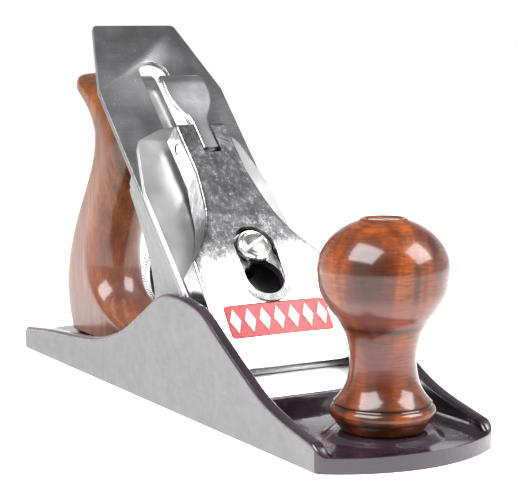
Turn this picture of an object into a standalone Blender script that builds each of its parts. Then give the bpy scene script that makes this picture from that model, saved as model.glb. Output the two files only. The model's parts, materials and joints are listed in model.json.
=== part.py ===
"""A metal bench plane of the smoothing size, with a wooden knob and handle.

Frame: +X points from heel to toe, +Z up from the sole, and the origin is the middle of the sole's box.
Pieces that lie on the frog's bed are drawn in the bed's own frame: local X runs across the plane,
local Y (called u) runs up the bed from the cutting edge's line, and local Z (called h) stands off the bed,
zero at the cutter's front face. Metres throughout.
"""

import math

import bmesh
import bpy
from mathutils import Matrix, Vector

# Overall size of the casting, which leaves the cutter room between its cheeks
CUTTER_WIDTH = 0.050
CUTTER_SIDE_ROOM = 0.0025
CHEEK_THICK = 0.004
SOLE_LENGTH = 0.245
SOLE_WIDTH = CUTTER_WIDTH + 2 * (CUTTER_SIDE_ROOM + CHEEK_THICK)
END_RADIUS = 0.0514
CORNER_RADIUS = 0.004
DECK = 0.005
CHEEK_PEAK = 0.0394
CHEEK_END = 0.0085
CHEEK_STOP = 0.0126
RIB_BACK = 0.0640
RIB_FRONT = 0.0680
RIB_TOP = 0.0120
BOSS_TOP = 0.0069
PAD_TOP = 0.0061
PAD_RADIUS = 0.0085

# The bed: its slope and where its line meets the sole
BED_ANGLE = math.radians(45)
EDGE_X = 0.0543
CUTTER_THICK = 0.002
CUTTER_LENGTH = 0.180
CUTTER_SET_BACK = 0.0007
CLIP_U = 0.147
TOP_HALF = 0.0172
SLOT_HALF = 0.00575
SLOT_LOW = 0.052
SLOT_HIGH = 0.161
SLOT_HOLE_RADIUS = 0.0073

# Cap iron, lever cap and the lever that locks it
CAP_IRON_THICK = 0.002
CAP_IRON_TOP = 0.1266
HUMP_HEIGHT = 0.0043
LEVER_CAP_LOW = 0.017
LEVER_CAP_HIGH = 0.117
LEVER_CAP_WALL = 0.0027
HEAD_HALF = 0.010
CAM_U = 0.110
CAM_H = 0.009
CAM_RADIUS = 0.0073
LEVER_HALF = 0.003
FAN_HALF = 0.0085
FAN_TOP = 0.1395

# Places along the bed
CAP_SCREW_U = 0.062
DOG_U = 0.071
KEYHOLE_U = 0.0503
KEYHOLE_RADIUS = 0.0070
KEYHOLE_SLOT = 0.0037
KEYHOLE_FLOOR = 0.0117
DISH_RADIUS = 0.0072
YOKE_PIVOT_U = 0.079
YOKE_PIVOT_H = -0.0066
IRON_SCREW_U = 0.091
ROLLER_U = 0.1042
LATERAL_PIVOT_U = 0.113
LATERAL_TOP = 0.165
FROG_TOP = 0.118

# Frog and its seat in the casting
FROG_HALF = CUTTER_WIDTH / 2 - 0.0015
FROG_PLATE = 0.006
FROG_WEB_HALF = CUTTER_WIDTH / 2 - 0.0028
FROG_WEB_THICK = 0.0035
FROG_BACK = -0.0110
FROG_BASE = 0.010
FROG_FOOT = 0.005
FROG_TOE = 0.041
FROG_TRAVEL = 0.001
FROG_SCREW_X = 0.024
FROG_SCREW_Y = 0.013
FROG_SCREW_RADIUS = 0.0026
FROG_SCREW_HEAD = 0.0046
SET_SCREW_Z = 0.0116
SET_SCREW_RADIUS = 0.0024
SET_SCREW_HEAD = 0.0042
CLIP_THICK = 0.0017

# Depth adjuster
STUD_Z = 0.0378
STUD_RADIUS = 0.003
STUD_END = -0.0455
WHEEL_RADIUS = 0.0143
WHEEL_BACK = -0.0397
WHEEL_FRONT = -0.0331
WHEEL_WALL = 0.0017
GROOVE_X = -0.0305
GROOVE_WIDTH = 0.0050
GROOVE_RADIUS = 0.0052
FLANGE_RADIUS = 0.0066
FORK_HALF = 0.0092
YOKE_THICK = 0.0028
YOKE_HALF = 0.0048

# Wood and its fixings
KNOB_X = SOLE_LENGTH / 2 - 0.0239
KNOB_TOP = 0.0708
KNOB_BALL = 0.0194
TOTE_HALF = 0.012
HEEL_X = -SOLE_LENGTH / 2
# The handle's outline is drawn with the heel this far behind the origin
TOTE_DRAWN = 0.1225
BOLT_TOP = Vector((HEEL_X + 0.0435, 0.0, 0.099))
BOLT_FOOT = Vector((HEEL_X + 0.0155, 0.0, 0.003))
BOLT_RADIUS = 0.0025
NUT_RADIUS = 0.0052
NUT_DEEP = 0.0032

GAP = 0.0003
RUN = 0.0005
ROUND = 32
GRAZED = ("frog", "cap_spring", "yoke", "cap_iron")
# A filled outline loses thin corners at a few tenths of a millimetre, so it is filled enlarged
ENLARGED = 100

BED = Matrix.Translation((EDGE_X, 0, 0)) @ Matrix((
    (0, -math.cos(BED_ANGLE), math.sin(BED_ANGLE), 0),
    (1, 0, 0, 0),
    (0, math.sin(BED_ANGLE), math.cos(BED_ANGLE), 0),
    (0, 0, 0, 1),
))
SIDE = Matrix.Rotation(math.pi / 2, 4, "X")
ALONG_X = Matrix.Rotation(math.pi / 2, 4, "Y")
ALONG_Y = Matrix.Rotation(-math.pi / 2, 4, "X")
LEVEL = Matrix.Identity(4)


# ---------------------------------------------------------------- workshop

def clear_scene():
    for obj in list(bpy.data.objects):
        bpy.data.objects.remove(obj, do_unlink=True)


def new_collection(name):
    collection = bpy.data.collections.new(name)
    bpy.context.scene.collection.children.link(collection)
    return collection


def material(name, colour, metallic, roughness):
    made = bpy.data.materials.new(name)
    made.use_nodes = True
    shader = made.node_tree.nodes["Principled BSDF"]
    shader.inputs["Base Color"].default_value = (*colour, 1)
    shader.inputs["Metallic"].default_value = metallic
    shader.inputs["Roughness"].default_value = roughness
    return made


def place(name, mesh, matrix, finish=None):
    """Links an object; with a finish it is a part, without one it is a cutter or another helper."""
    obj = bpy.data.objects.new(name, mesh)
    obj.matrix_world = matrix
    if finish is None:
        CUTTERS.objects.link(obj)
        obj.hide_render = True
        obj.display_type = "WIRE"
    else:
        PARTS.objects.link(obj)
        mesh.materials.append(finish)
    return obj


def mesh_of(curve_data):
    """The curve's filled solid as a mesh whose caps are welded to its sides."""
    holder = bpy.data.objects.new("outline", curve_data)
    bpy.context.scene.collection.objects.link(holder)
    bpy.context.view_layer.update()
    graph = bpy.context.evaluated_depsgraph_get()
    mesh = bpy.data.meshes.new_from_object(holder.evaluated_get(graph))
    bpy.data.objects.remove(holder, do_unlink=True)
    mesh.transform(Matrix.Diagonal((1 / ENLARGED, 1 / ENLARGED, 1 / ENLARGED, 1)))
    bm = bmesh.new()
    bm.from_mesh(mesh)
    bmesh.ops.remove_doubles(bm, verts=bm.verts, dist=1e-6)
    bmesh.ops.recalc_face_normals(bm, faces=bm.faces)
    bm.to_mesh(mesh)
    bm.free()
    return mesh


def slab(name, points, low, high, matrix, finish=None):
    """A flat outline in local X and Y, filled from local z low to high."""
    data = bpy.data.curves.new(name, "CURVE")
    data.dimensions = "2D"
    data.fill_mode = "BOTH"
    data.extrude = ENLARGED * (high - low) / 2
    spline = data.splines.new("POLY")
    spline.points.add(len(points) - 1)
    for point, (x, y) in zip(spline.points, points):
        point.co = (ENLARGED * x, ENLARGED * y, 0, 1)
    spline.use_cyclic_u = True
    return place(name, mesh_of(data), matrix @ Matrix.Translation((0, 0, (low + high) / 2)), finish)


def side_slab(name, points, half, finish=None):
    """An outline in world X and Z, filled across the plane from -half to half."""
    return slab(name, points, -half, half, SIDE, finish)


def bed_side_slab(name, points, half, finish=None):
    """An outline in the bed's u and h, filled across the plane from -half to half."""
    across = Matrix(((0, 0, 1, 0), (1, 0, 0, 0), (0, 1, 0, 0), (0, 0, 0, 1)))
    return slab(name, points, -half, half, BED @ across, finish)


def prism_between(name, low, high, outline):
    """An outline in the bed's a and h, carried up the bed from u = low to u = high."""
    along = Matrix(((1, 0, 0, 0), (0, 0, -1, 0), (0, 1, 0, 0), (0, 0, 0, 1)))
    return slab(name, outline, -high, -low, BED @ along)


def box(name, low, high, matrix=LEVEL, finish=None):
    bm = bmesh.new()
    bmesh.ops.create_cube(bm, size=1)
    size = Vector(high) - Vector(low)
    middle = (Vector(high) + Vector(low)) / 2
    bmesh.ops.transform(bm, matrix=Matrix.Translation(middle) @ Matrix.Diagonal((*size, 1)), verts=bm.verts)
    mesh = bpy.data.meshes.new(name)
    bm.to_mesh(mesh)
    bm.free()
    return place(name, mesh, matrix, finish)


def rod(name, radius, low, high, matrix, finish=None, top_radius=None, sides=ROUND):
    bm = bmesh.new()
    bmesh.ops.create_cone(
        bm, cap_ends=True, segments=sides, radius1=radius,
        radius2=radius if top_radius is None else top_radius, depth=high - low,
    )
    bmesh.ops.translate(bm, vec=(0, 0, (low + high) / 2), verts=bm.verts)
    mesh = bpy.data.meshes.new(name)
    bm.to_mesh(mesh)
    bm.free()
    return smooth(place(name, mesh, matrix, finish))


def turned(name, profile, matrix, finish=None, closed=False, steps=ROUND):
    """A profile of (radius, z) turned about local Z; its outer side runs from top to bottom."""
    bm = bmesh.new()
    points = [bm.verts.new((r, 0, z)) for r, z in profile]
    for a, b in zip(points, points[1:]):
        bm.edges.new((a, b))
    if closed:
        bm.edges.new((points[-1], points[0]))
    mesh = bpy.data.meshes.new(name)
    bm.to_mesh(mesh)
    bm.free()
    obj = place(name, mesh, matrix, finish)
    screw = obj.modifiers.new("turn", "SCREW")
    screw.steps = steps
    screw.render_steps = steps
    screw.use_merge_vertices = True
    screw.merge_threshold = 1e-6
    return obj


def smooth(obj):
    obj.data.shade_smooth()
    obj.data.set_sharp_from_angle(angle=math.radians(35))
    return obj


def combine(target, tool, operation):
    """One Boolean step; the pieces in GRAZED have grazing cuts, which the exact solver leaves open."""
    step = target.modifiers.new(tool.name, "BOOLEAN")
    step.operation = operation
    step.object = tool
    step.solver = "MANIFOLD" if target.name in GRAZED else "EXACT"
    return target


def cut(target, *tools):
    for tool in tools:
        combine(target, tool, "DIFFERENCE")
    return target


def join(target, *tools):
    for tool in tools:
        combine(target, tool, "UNION")
    return target


def arc(x, y, radius, start, end, steps):
    """Points on an arc about (x, y), from start to end in degrees."""
    angles = [math.radians(start + (end - start) * i / steps) for i in range(steps + 1)]
    return [(x + radius * math.cos(a), y + radius * math.sin(a)) for a in angles]


def flowing(points, steps):
    """A smooth curve through hand-set points, a Catmull-Rom spline with each stretch in equal steps."""
    p = [points[0], *points, points[-1]]
    found = []
    for a, b, c, d in zip(p, p[1:], p[2:], p[3:]):
        for i in range(steps):
            t = i / steps
            found.append(tuple(
                0.5 * (2 * b[k] + (c[k] - a[k]) * t + (2 * a[k] - 5 * b[k] + 4 * c[k] - d[k]) * t * t
                       + (3 * b[k] - a[k] - 3 * c[k] + d[k]) * t ** 3)
                for k in (0, 1)
            ))
    return [*found, points[-1]]


def mirrored(points):
    """The outline whose right half, from bottom to top, is given, closed over local Y."""
    return [*points, *[(-x, y) for x, y in reversed(points) if x > 1e-7]]


def long_hole(x, y_low, y_high, radius, steps=8):
    """A hole with round ends along local Y, whose end centres are at y_low and y_high."""
    return [*arc(x, y_low, radius, 180, 360, steps), *arc(x, y_high, radius, 0, 180, steps)]


def world_at(u, h):
    return BED @ Vector((0, u, h))


# ---------------------------------------------------------------- the casting

def sole_outline(inset=0.0):
    """Plan of the casting: straight cheeks, small corner radii and a wide arc at each end."""
    half = SOLE_WIDTH / 2 - inset
    end = END_RADIUS - inset
    corner = CORNER_RADIUS
    centre_x = SOLE_LENGTH / 2 - END_RADIUS
    run = math.sqrt((end - corner) ** 2 - (half - corner) ** 2)
    turn = math.degrees(math.atan2(half - corner, run))
    toe = [
        *arc(centre_x + run, corner - half, corner, -90, -turn, 4),
        *arc(centre_x, 0, end, -turn, turn, 16)[1:-1],
        *arc(centre_x + run, half - corner, corner, turn, 90, 4),
    ]
    return [*toe, *[(-x, -y) for x, y in toe]]


def cheek_outline():
    """Side view of the casting: low at heel and toe, humped beside the mouth."""
    end = SOLE_LENGTH / 2 - CHEEK_STOP
    crest = flowing([
        (-end, CHEEK_END), (-0.773 * end, 0.0112), (-0.510 * end, 0.0134), (-0.346 * end, 0.0159),
        (-0.020, 0.0213), (-0.004, 0.0298), (0.008, 0.0366), (0.015, CHEEK_PEAK - 0.0005),
        (0.023, CHEEK_PEAK), (0.031, CHEEK_PEAK - 0.0006), (0.041, 0.0366), (0.491 * end, 0.0294),
        (0.610 * end, 0.0222), (0.719 * end, 0.0162), (0.828 * end, 0.0124), (end, CHEEK_END),
    ], 3)
    past = SOLE_LENGTH / 2 + 0.01
    return [(-past, -0.001), (-past, DECK), (-end - 0.005, DECK), *crest,
            (end + 0.005, DECK), (past, DECK), (past, -0.001)][::-1]


def make_body(finish):
    body = slab("plane_body", sole_outline(), 0, CHEEK_PEAK + 0.002, LEVEL, finish)
    combine(body, side_slab("cheek_shape", cheek_outline(), SOLE_WIDTH), "INTERSECT")
    inner = SOLE_WIDTH / 2 - CHEEK_THICK
    length = SOLE_LENGTH / 2 + 0.005
    cut(body, box("well", (-length, -inner, DECK), (length, inner, 0.05)))
    reach = inner + 0.001
    sunk = DECK - 0.002
    seat_top = FROG_BASE - GAP
    seat_half = FROG_WEB_HALF - 0.0007
    join(
        body,
        rod("knob_boss", 0.0152, sunk, BOSS_TOP, Matrix.Translation((KNOB_X, 0, 0)), top_radius=0.0138),
        slab("tote_pad", long_hole(0, -HEEL_X - 0.0745, -HEEL_X - 0.0125, PAD_RADIUS), sunk, PAD_TOP,
             Matrix.Rotation(math.pi / 2, 4, "Z")),
        box("frog_seat", (FROG_BACK + 0.0045, -seat_half, sunk), (FROG_TOE - 0.001, seat_half, seat_top)),
        box("set_screw_rib", (-0.006, -0.005, sunk), (0.006, 0.005, 0.0155)),
        box("front_rib", (RIB_BACK, -reach, sunk), (RIB_FRONT, reach, RIB_TOP)),
    )
    mouth = side_slab(
        "mouth",
        [(EDGE_X + 0.003, -0.001), (EDGE_X + 0.003, DECK + 0.0061), (EDGE_X - 0.0153, DECK + 0.0061),
         (EDGE_X - 0.0044, -0.001)],
        CUTTER_WIDTH / 2 + 0.0015,
    )
    cut(
        body, mouth,
        rod("knob_thread", BOLT_RADIUS + GAP, 0.002, 0.02, Matrix.Translation((KNOB_X, 0, 0)), sides=16),
        rod("tote_thread", BOLT_RADIUS + GAP, -0.0002, 0.02, bolt_matrix(), sides=16),
        rod("set_screw_thread", SET_SCREW_RADIUS + GAP, -0.009, 0.0045, set_screw_matrix(), sides=16),
    )
    for side in (-1, 1):
        spot = Matrix.Translation((FROG_SCREW_X, side * FROG_SCREW_Y, 0))
        cut(body, rod(f"frog_thread_{side}", FROG_SCREW_RADIUS + GAP, 0.0022, 0.02, spot, sides=16))


def bolt_matrix():
    """Local Z runs up the tote's bolt from its foot."""
    rise = (BOLT_TOP - BOLT_FOOT).normalized()
    return Matrix.Translation(BOLT_FOOT) @ rise.to_track_quat("Z", "Y").to_matrix().to_4x4()


def set_screw_matrix():
    """Local Z runs along +X on the frog's setting screw."""
    return Matrix.Translation((0, 0, SET_SCREW_Z)) @ ALONG_X


# ---------------------------------------------------------------- the frog

def web_outline():
    """Side view of a frog web: its front follows the bed plate and its back sweeps down to the foot."""
    top = world_at(0.108, -0.0075)
    low = world_at(0.020, -0.0075)
    back = flowing([
        (top.x - 0.0004, top.z - 0.001), (-0.0309, 0.0692), (-0.0253, 0.0619), (-0.0204, 0.0549),
        (-0.0148, 0.0455), (FROG_BACK - 0.0004, 0.0360), (FROG_BACK, 0.0300),
    ], 3)
    return [(top.x, top.z), *back, (FROG_BACK, FROG_BASE), (low.x, FROG_BASE), (low.x, low.z)]


def make_frog(finish):
    face = -CUTTER_THICK - GAP
    frog = slab(
        "frog",
        mirrored([(0, 0.0125), (FROG_HALF, 0.0125), (FROG_HALF, FROG_TOP - 0.012),
                  *arc(FROG_HALF - 0.012, FROG_TOP - 0.012, 0.012, 0, 90, 5)[1:], (0, FROG_TOP)]),
        face - FROG_PLATE, face, BED, finish,
    )
    for side in (-1, 1):
        middle = side * (FROG_WEB_HALF - FROG_WEB_THICK / 2)
        web = slab(f"web_{side}", web_outline(), -FROG_WEB_THICK / 2, FROG_WEB_THICK / 2,
                   Matrix.Translation((0, middle, 0)) @ SIDE)
        join(frog, web)
    wide = FROG_WEB_HALF - 0.0001
    join(
        frog,
        box("frog_foot", (0.008, -wide, FROG_BASE), (FROG_TOE - 0.004, wide, FROG_BASE + FROG_FOOT)),
        box("frog_heel", (FROG_BACK, -wide, FROG_BASE), (0.012, wide, 0.020)),
        box("stud_wall", (FROG_BACK, -wide, 0.012), (-0.0035, wide, 0.0440)),
        rod("screw_boss", 0.0065, face - 0.014, face - 0.003, bed_spot(CAP_SCREW_U)),
    )
    cut(
        frog,
        box("below_frog", (-0.06, -0.04, -0.01), (0.08, 0.04, FROG_BASE)),
        box("above_bed", (-0.04, -0.01, face), (0.04, 0.15, 0.05), BED),
        box("yoke_channel", (-0.0062, 0.0672, -0.04), (0.0062, 0.0970, 0.01), BED),
        slab("iron_screw_room", long_hole(0, 0.0870, 0.0950, 0.0070), face - 0.0024, 0.01, BED),
        slab("lever_room", lateral_room(), face - 0.0035, 0.01, BED),
        rod("cap_screw_thread", 0.0028 + GAP, -0.04, 0.01, bed_spot(CAP_SCREW_U), sides=16),
        rod("rivet_hole", 0.0018 + GAP, -0.04, 0.01, bed_spot(LATERAL_PIVOT_U), sides=16),
        rod("yoke_pin_hole", 0.0016 + GAP, -0.0165, 0.0165, yoke_matrix(), sides=16),
        rod("stud_hole", STUD_RADIUS + GAP, -0.02, 0.004, stud_matrix(), sides=20),
        rod("clip_screw_thread", 0.002 + GAP, -0.0115, -0.005, Matrix.Translation((0, 0, 0.024)) @ ALONG_X, sides=16),
        box("rib_room", (-0.02, -0.0060, 0), (0.0085, 0.0060, 0.0168)),
    )
    for side in (-1, 1):
        spot = Matrix.Translation((FROG_SCREW_X, side * FROG_SCREW_Y, 0)) @ Matrix.Rotation(math.pi / 2, 4, "Z")
        slot = long_hole(0, -FROG_TRAVEL - GAP, FROG_TRAVEL + GAP, FROG_SCREW_RADIUS + GAP)
        well = long_hole(0, -FROG_TRAVEL - RUN, FROG_TRAVEL + RUN, 0.0058)
        cut(
            frog,
            slab(f"frog_slot_{side}", slot, 0, 0.03, spot),
            slab(f"frog_well_{side}", well, FROG_BASE + FROG_FOOT, 0.05, spot),
        )


def lateral_room():
    """Room in the frog's face for the lateral lever to swing in."""
    low = ROLLER_U - 0.0062
    return mirrored([(0, low), (0.0075, low + 0.003), (0.0095, FROG_TOP + 0.002), (0, FROG_TOP + 0.002)])


def bed_spot(u):
    return BED @ Matrix.Translation((0, u, 0))


def yoke_matrix():
    """Local Z runs along the yoke's pin, across the plane."""
    return Matrix.Translation(world_at(YOKE_PIVOT_U, YOKE_PIVOT_H)) @ ALONG_Y


def stud_matrix():
    return Matrix.Translation((0, 0, STUD_Z)) @ ALONG_X


def make_frog_screws(screw_finish, washer_finish):
    for side, word in ((-1, "right"), (1, "left")):
        spot = Matrix.Translation((FROG_SCREW_X, side * FROG_SCREW_Y, 0))
        seat = FROG_BASE + FROG_FOOT + GAP
        turned(f"frog_washer_{word}", [
            (FROG_SCREW_RADIUS + GAP, seat), (FROG_SCREW_RADIUS + GAP, seat + 0.001),
            (0.0050, seat + 0.001), (0.0050, seat)], spot, washer_finish, closed=True, steps=24)
        low = seat + 0.001 + GAP
        screw = turned(f"frog_screw_{word}", [
            (0, low + 0.003), (FROG_SCREW_HEAD - 0.0006, low + 0.003), (FROG_SCREW_HEAD, low + 0.0022),
            (FROG_SCREW_HEAD, low), (FROG_SCREW_RADIUS, low), (FROG_SCREW_RADIUS, 0.0030), (0, 0.0030)],
            spot, screw_finish, steps=24)
        cut(screw, box(f"driver_slot_{word}", (-0.006, -0.0006, low + 0.0018), (0.006, 0.0006, low + 0.01), spot))


def make_frog_setting(screw_finish, clip_finish):
    """The screw that moves the frog, and the clip on the frog's back that rides in its groove."""
    back = FROG_BACK - GAP
    clip_back = back - CLIP_THICK
    head = clip_back - GAP
    neck = 0.0024
    screw = turned("frog_setting_screw", [
        (0, 0.0035), (SET_SCREW_RADIUS, 0.0030), (SET_SCREW_RADIUS, back + 0.0028), (SET_SCREW_HEAD, back + 0.0028),
        (SET_SCREW_HEAD, back + GAP), (neck, back + GAP), (neck, head), (SET_SCREW_HEAD, head),
        (SET_SCREW_HEAD, head - 0.0045), (SET_SCREW_HEAD - 0.0006, head - 0.0052), (0, head - 0.0052)],
        set_screw_matrix(), screw_finish, steps=24)
    cut(screw, box("set_screw_slot", (-0.0006, -0.006, head - 0.01), (0.0006, 0.006, head - 0.0038), set_screw_matrix()))
    clip = box("frog_setting_clip", (clip_back, -0.0062, 0.0072), (back, 0.0062, 0.0305), finish=clip_finish)
    cut(
        clip,
        box("clip_fork", (-0.03, -neck - GAP, 0), (0, neck + GAP, SET_SCREW_Z + 0.0029)),
        rod("clip_hole", 0.002 + GAP, -0.02, 0.0, Matrix.Translation((0, 0, 0.024)) @ ALONG_X, sides=16),
    )
    clip_screw = turned("clip_screw", [
        (0, -0.0062), (0.002, -0.0062), (0.002, head), (0.0038, head), (0.0038, head - 0.0012),
        (0.0028, head - 0.0021), (0, head - 0.0021)], Matrix.Translation((0, 0, 0.024)) @ ALONG_X, screw_finish, steps=20)
    cut(clip_screw, box("clip_screw_slot", (-0.0005, -0.006, head - 0.004), (0.0005, 0.006, head - 0.0012),
                        Matrix.Translation((0, 0, 0.024)) @ ALONG_X))


# ---------------------------------------------------------------- depth adjuster

def make_yoke(yoke_finish, pin_finish):
    """A bell crank: a finger up into the cap iron, a hub on the pin, and two tines astride the nut's groove."""
    pivot = world_at(YOKE_PIVOT_U, YOKE_PIVOT_H)
    half = 0.0016
    front = GROOVE_X + YOKE_THICK / 2
    rear = GROOVE_X - YOKE_THICK / 2
    finger = [world_at(u, h) for u, h in (
        (DOG_U - half, -0.0046), (DOG_U - half, 0.0018), (DOG_U + half, 0.0018), (DOG_U + half, -0.0032),
        (YOKE_PIVOT_U + 0.0010, -0.0031), (YOKE_PIVOT_U + 0.0034, -0.0052))]
    top = STUD_Z + 0.0122
    low = STUD_Z - 0.0040
    split = front + 0.0092
    outline = [
        *[(p.x, p.z) for p in finger], (pivot.x - 0.0045, pivot.z + 0.0030), (front, top), (rear, top - 0.0030),
        (rear, low), (front, low), (front, top - 0.0045), (pivot.x - 0.0060, pivot.z - 0.0036),
        (pivot.x + 0.0005, pivot.z - 0.0040), (pivot.x + 0.0020, pivot.z - 0.0030),
    ]
    yoke = side_slab("yoke", outline, YOKE_HALF, yoke_finish)
    join(yoke, side_slab("yoke_fork", [
        (split + 0.001, top + 0.0018), (front, top), (rear, top - 0.0030), (rear, low), (front, low),
        (front, top - 0.0045), (split + 0.001, top - 0.0036)], FORK_HALF))
    narrow = 0.0028
    tip = [(0.0068, 0.060), (0.0068, 0.080), (narrow, 0.080), (narrow, 0.060)]
    cut(
        yoke,
        box("groove_gap", (-0.04, -GROOVE_RADIUS - GAP, 0.02), (front + 0.001, GROOVE_RADIUS + GAP, 0.06)),
        box("nose_gap", (front, -FLANGE_RADIUS - GAP, 0.02), (split, FLANGE_RADIUS + GAP, 0.06)),
        slab("finger_right", tip, -0.0032, 0.01, BED),
        slab("finger_left", [(-x, y) for x, y in tip], -0.0032, 0.01, BED),
        rod("yoke_bore", 0.0016 + GAP, -0.02, 0.02, yoke_matrix(), sides=16),
    )
    rod("yoke_pin", 0.0016, -0.0160, 0.0160, yoke_matrix(), pin_finish, sides=16)


def make_depth_nut(stud_finish, nut_finish, wheel_finish):
    rod("depth_stud", STUD_RADIUS, STUD_END, -0.0045, stud_matrix(), stud_finish, sides=24)
    bore = STUD_RADIUS + GAP
    front = GROOVE_X + GROOVE_WIDTH / 2
    rear = GROOVE_X - GROOVE_WIDTH / 2
    nose = front + 0.0024
    neck = 0.0058
    turned("depth_nut", [
        (bore, nose), (FLANGE_RADIUS, nose), (FLANGE_RADIUS, front), (GROOVE_RADIUS, front), (GROOVE_RADIUS, rear),
        (FLANGE_RADIUS, rear), (FLANGE_RADIUS, rear - 0.0018), (neck, rear - 0.0018),
        (neck, WHEEL_BACK - 0.0012), (bore, WHEEL_BACK - 0.0012)],
        stud_matrix(), nut_finish, closed=True, steps=28)
    inside = WHEEL_RADIUS - WHEEL_WALL
    knurl = WHEEL_RADIUS - 0.0005
    turned("depth_wheel", [
        (inside, WHEEL_FRONT), (knurl, WHEEL_FRONT), (WHEEL_RADIUS, WHEEL_FRONT - 0.0005),
        (WHEEL_RADIUS, WHEEL_BACK + 0.0008), (WHEEL_RADIUS - 0.0008, WHEEL_BACK), (neck + GAP, WHEEL_BACK),
        (neck + GAP, WHEEL_BACK + WHEEL_WALL), (inside, WHEEL_BACK + WHEEL_WALL)],
        stud_matrix(), wheel_finish, closed=True, steps=40)


# ---------------------------------------------------------------- lateral lever

def make_lateral(lever_finish, rivet_finish):
    level = -CUTTER_THICK - GAP - 0.0016
    thick = 0.0015
    tail = ROLLER_U
    path = [(tail - 0.0045, level), (0.119, level), (0.134, level - 0.0022), (0.157, level - 0.0030),
            (0.162, level - 0.0046), (LATERAL_TOP, level - 0.0086)]
    under = [(u + (0.0010 if i > 3 else 0), h - thick) for i, (u, h) in enumerate(path)]
    under[-1] = (LATERAL_TOP - thick, level - 0.0092)
    under[-2] = (0.1608, level - 0.0046 - thick * 0.7)
    lever = bed_side_slab("lateral_lever", [*path, *under[::-1]], 0.006, lever_finish)
    plan = slab("lever_plan", mirrored([
        (0, tail - 0.0045), (0.0032, tail - 0.0034), (0.0045, tail), (0.0050, 0.119), (0.0042, 0.140),
        (0.0042, LATERAL_TOP - 0.004), *arc(0, LATERAL_TOP - 0.0042, 0.0042, 20, 90, 4)]), -0.03, 0.02, BED)
    combine(lever, plan, "INTERSECT")
    cut(
        lever,
        rod("lever_eye", 0.0018 + GAP, -0.02, 0.01, bed_spot(LATERAL_PIVOT_U), sides=16),
        rod("roller_eye", 0.0014 + GAP, -0.02, 0.01, bed_spot(ROLLER_U), sides=16),
    )
    turned("lateral_rivet", [
        (0, level + 0.0011), (0.0025, level + 0.0011), (0.0030, level + GAP), (0.0018, level + GAP),
        (0.0018, level - 0.0070), (0, level - 0.0070)], bed_spot(LATERAL_PIVOT_U), rivet_finish, steps=20)
    turned("lateral_roller", [
        (0, -0.0002), (0.0047, -0.0002), (0.0051, -0.0006), (0.0051, level + GAP), (0.0014, level + GAP),
        (0.0014, level - thick - 0.0001), (0, level - thick - 0.0001)],
        bed_spot(ROLLER_U), rivet_finish, steps=28)


# ---------------------------------------------------------------- cutter and cap iron

def make_cutter(finish):
    low = CUTTER_SET_BACK
    cutter = slab("cutter", mirrored([
        (0, low), (CUTTER_WIDTH / 2, low), (CUTTER_WIDTH / 2, CLIP_U),
        *arc(TOP_HALF - 0.002, CUTTER_LENGTH - 0.002, 0.002, 25, 90, 4), (0, CUTTER_LENGTH)]),
        -CUTTER_THICK, 0, BED, finish)
    bevel = bed_side_slab("bevel_cut", [
        (low - 0.004, 0.0), (low, 0.0), (low + CUTTER_THICK * 2.2, -CUTTER_THICK * 1.05),
        (low + CUTTER_THICK * 2.2, -0.006), (low - 0.004, -0.006)], CUTTER_WIDTH)
    meet = math.degrees(math.acos(SLOT_HALF / SLOT_HOLE_RADIUS))
    hole = [
        *arc(0, SLOT_LOW, SLOT_HOLE_RADIUS, 180 - meet, 360 + meet, 16),
        *arc(0, SLOT_HIGH - SLOT_HALF, SLOT_HALF, 0, 180, 10),
    ]
    cut(cutter, bevel, slab("cutter_slot", hole, -0.01, 0.01, BED))


def make_cap_iron(iron_finish, screw_finish):
    low = GAP
    high = GAP + CAP_IRON_THICK
    crown = HUMP_HEIGHT
    top_side = flowing([(0.0022, low + 0.0003), (0.0050, 0.0022), (0.0100, crown - 0.0005), (0.0150, crown),
                        (0.0210, crown - 0.0004), (0.0280, 0.0031), (0.0340, high)], 3)
    under_side = flowing([(0.0340, low), (0.0270, 0.0011), (0.0210, 0.0020), (0.0150, crown - 0.0019),
                          (0.0100, crown - 0.0024), (0.0055, low + 0.0004), (0.0030, low)], 3)
    iron = bed_side_slab("cap_iron", [
        (0.0022, low), *top_side, (CAP_IRON_TOP, high), (CAP_IRON_TOP, low), *under_side], 0.030, iron_finish)
    plan = slab("cap_iron_plan", mirrored([
        (0, 0), (CUTTER_WIDTH / 2, 0), (CUTTER_WIDTH / 2, 0.097), (0.0205, 0.1175),
        *arc(0.0170, 0.1185, 0.0030, 0, 75, 4), (0.009, CAP_IRON_TOP - 0.0011), (0, CAP_IRON_TOP)]), -0.01, 0.02, BED)
    combine(iron, plan, "INTERSECT")
    cut(
        iron,
        slab("iron_long_hole", long_hole(0, CAP_SCREW_U - 0.0018, CAP_SCREW_U + 0.0009, 0.0036), -0.01, 0.01, BED),
        box("finger_slot", (-0.0032, DOG_U - 0.0024, -0.01), (0.0032, DOG_U + 0.0024, 0.01), BED),
        rod("iron_thread", 0.0032 + GAP, -0.01, 0.01, bed_spot(IRON_SCREW_U), sides=20),
    )
    back = -CUTTER_THICK - GAP
    screw = turned("cap_iron_screw", [
        (0, high - 0.0001), (0.0032, high - 0.0001), (0.0032, back), (0.0056, back), (0.0056, back - 0.0011),
        (0.0050, back - 0.0017), (0, back - 0.0017)], bed_spot(IRON_SCREW_U), screw_finish, steps=28)
    cut(screw, box("iron_screw_slot", (-0.007, -0.0007, -0.01), (0.007, 0.0007, back - 0.0009), bed_spot(IRON_SCREW_U)))


# ---------------------------------------------------------------- lever cap

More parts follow.
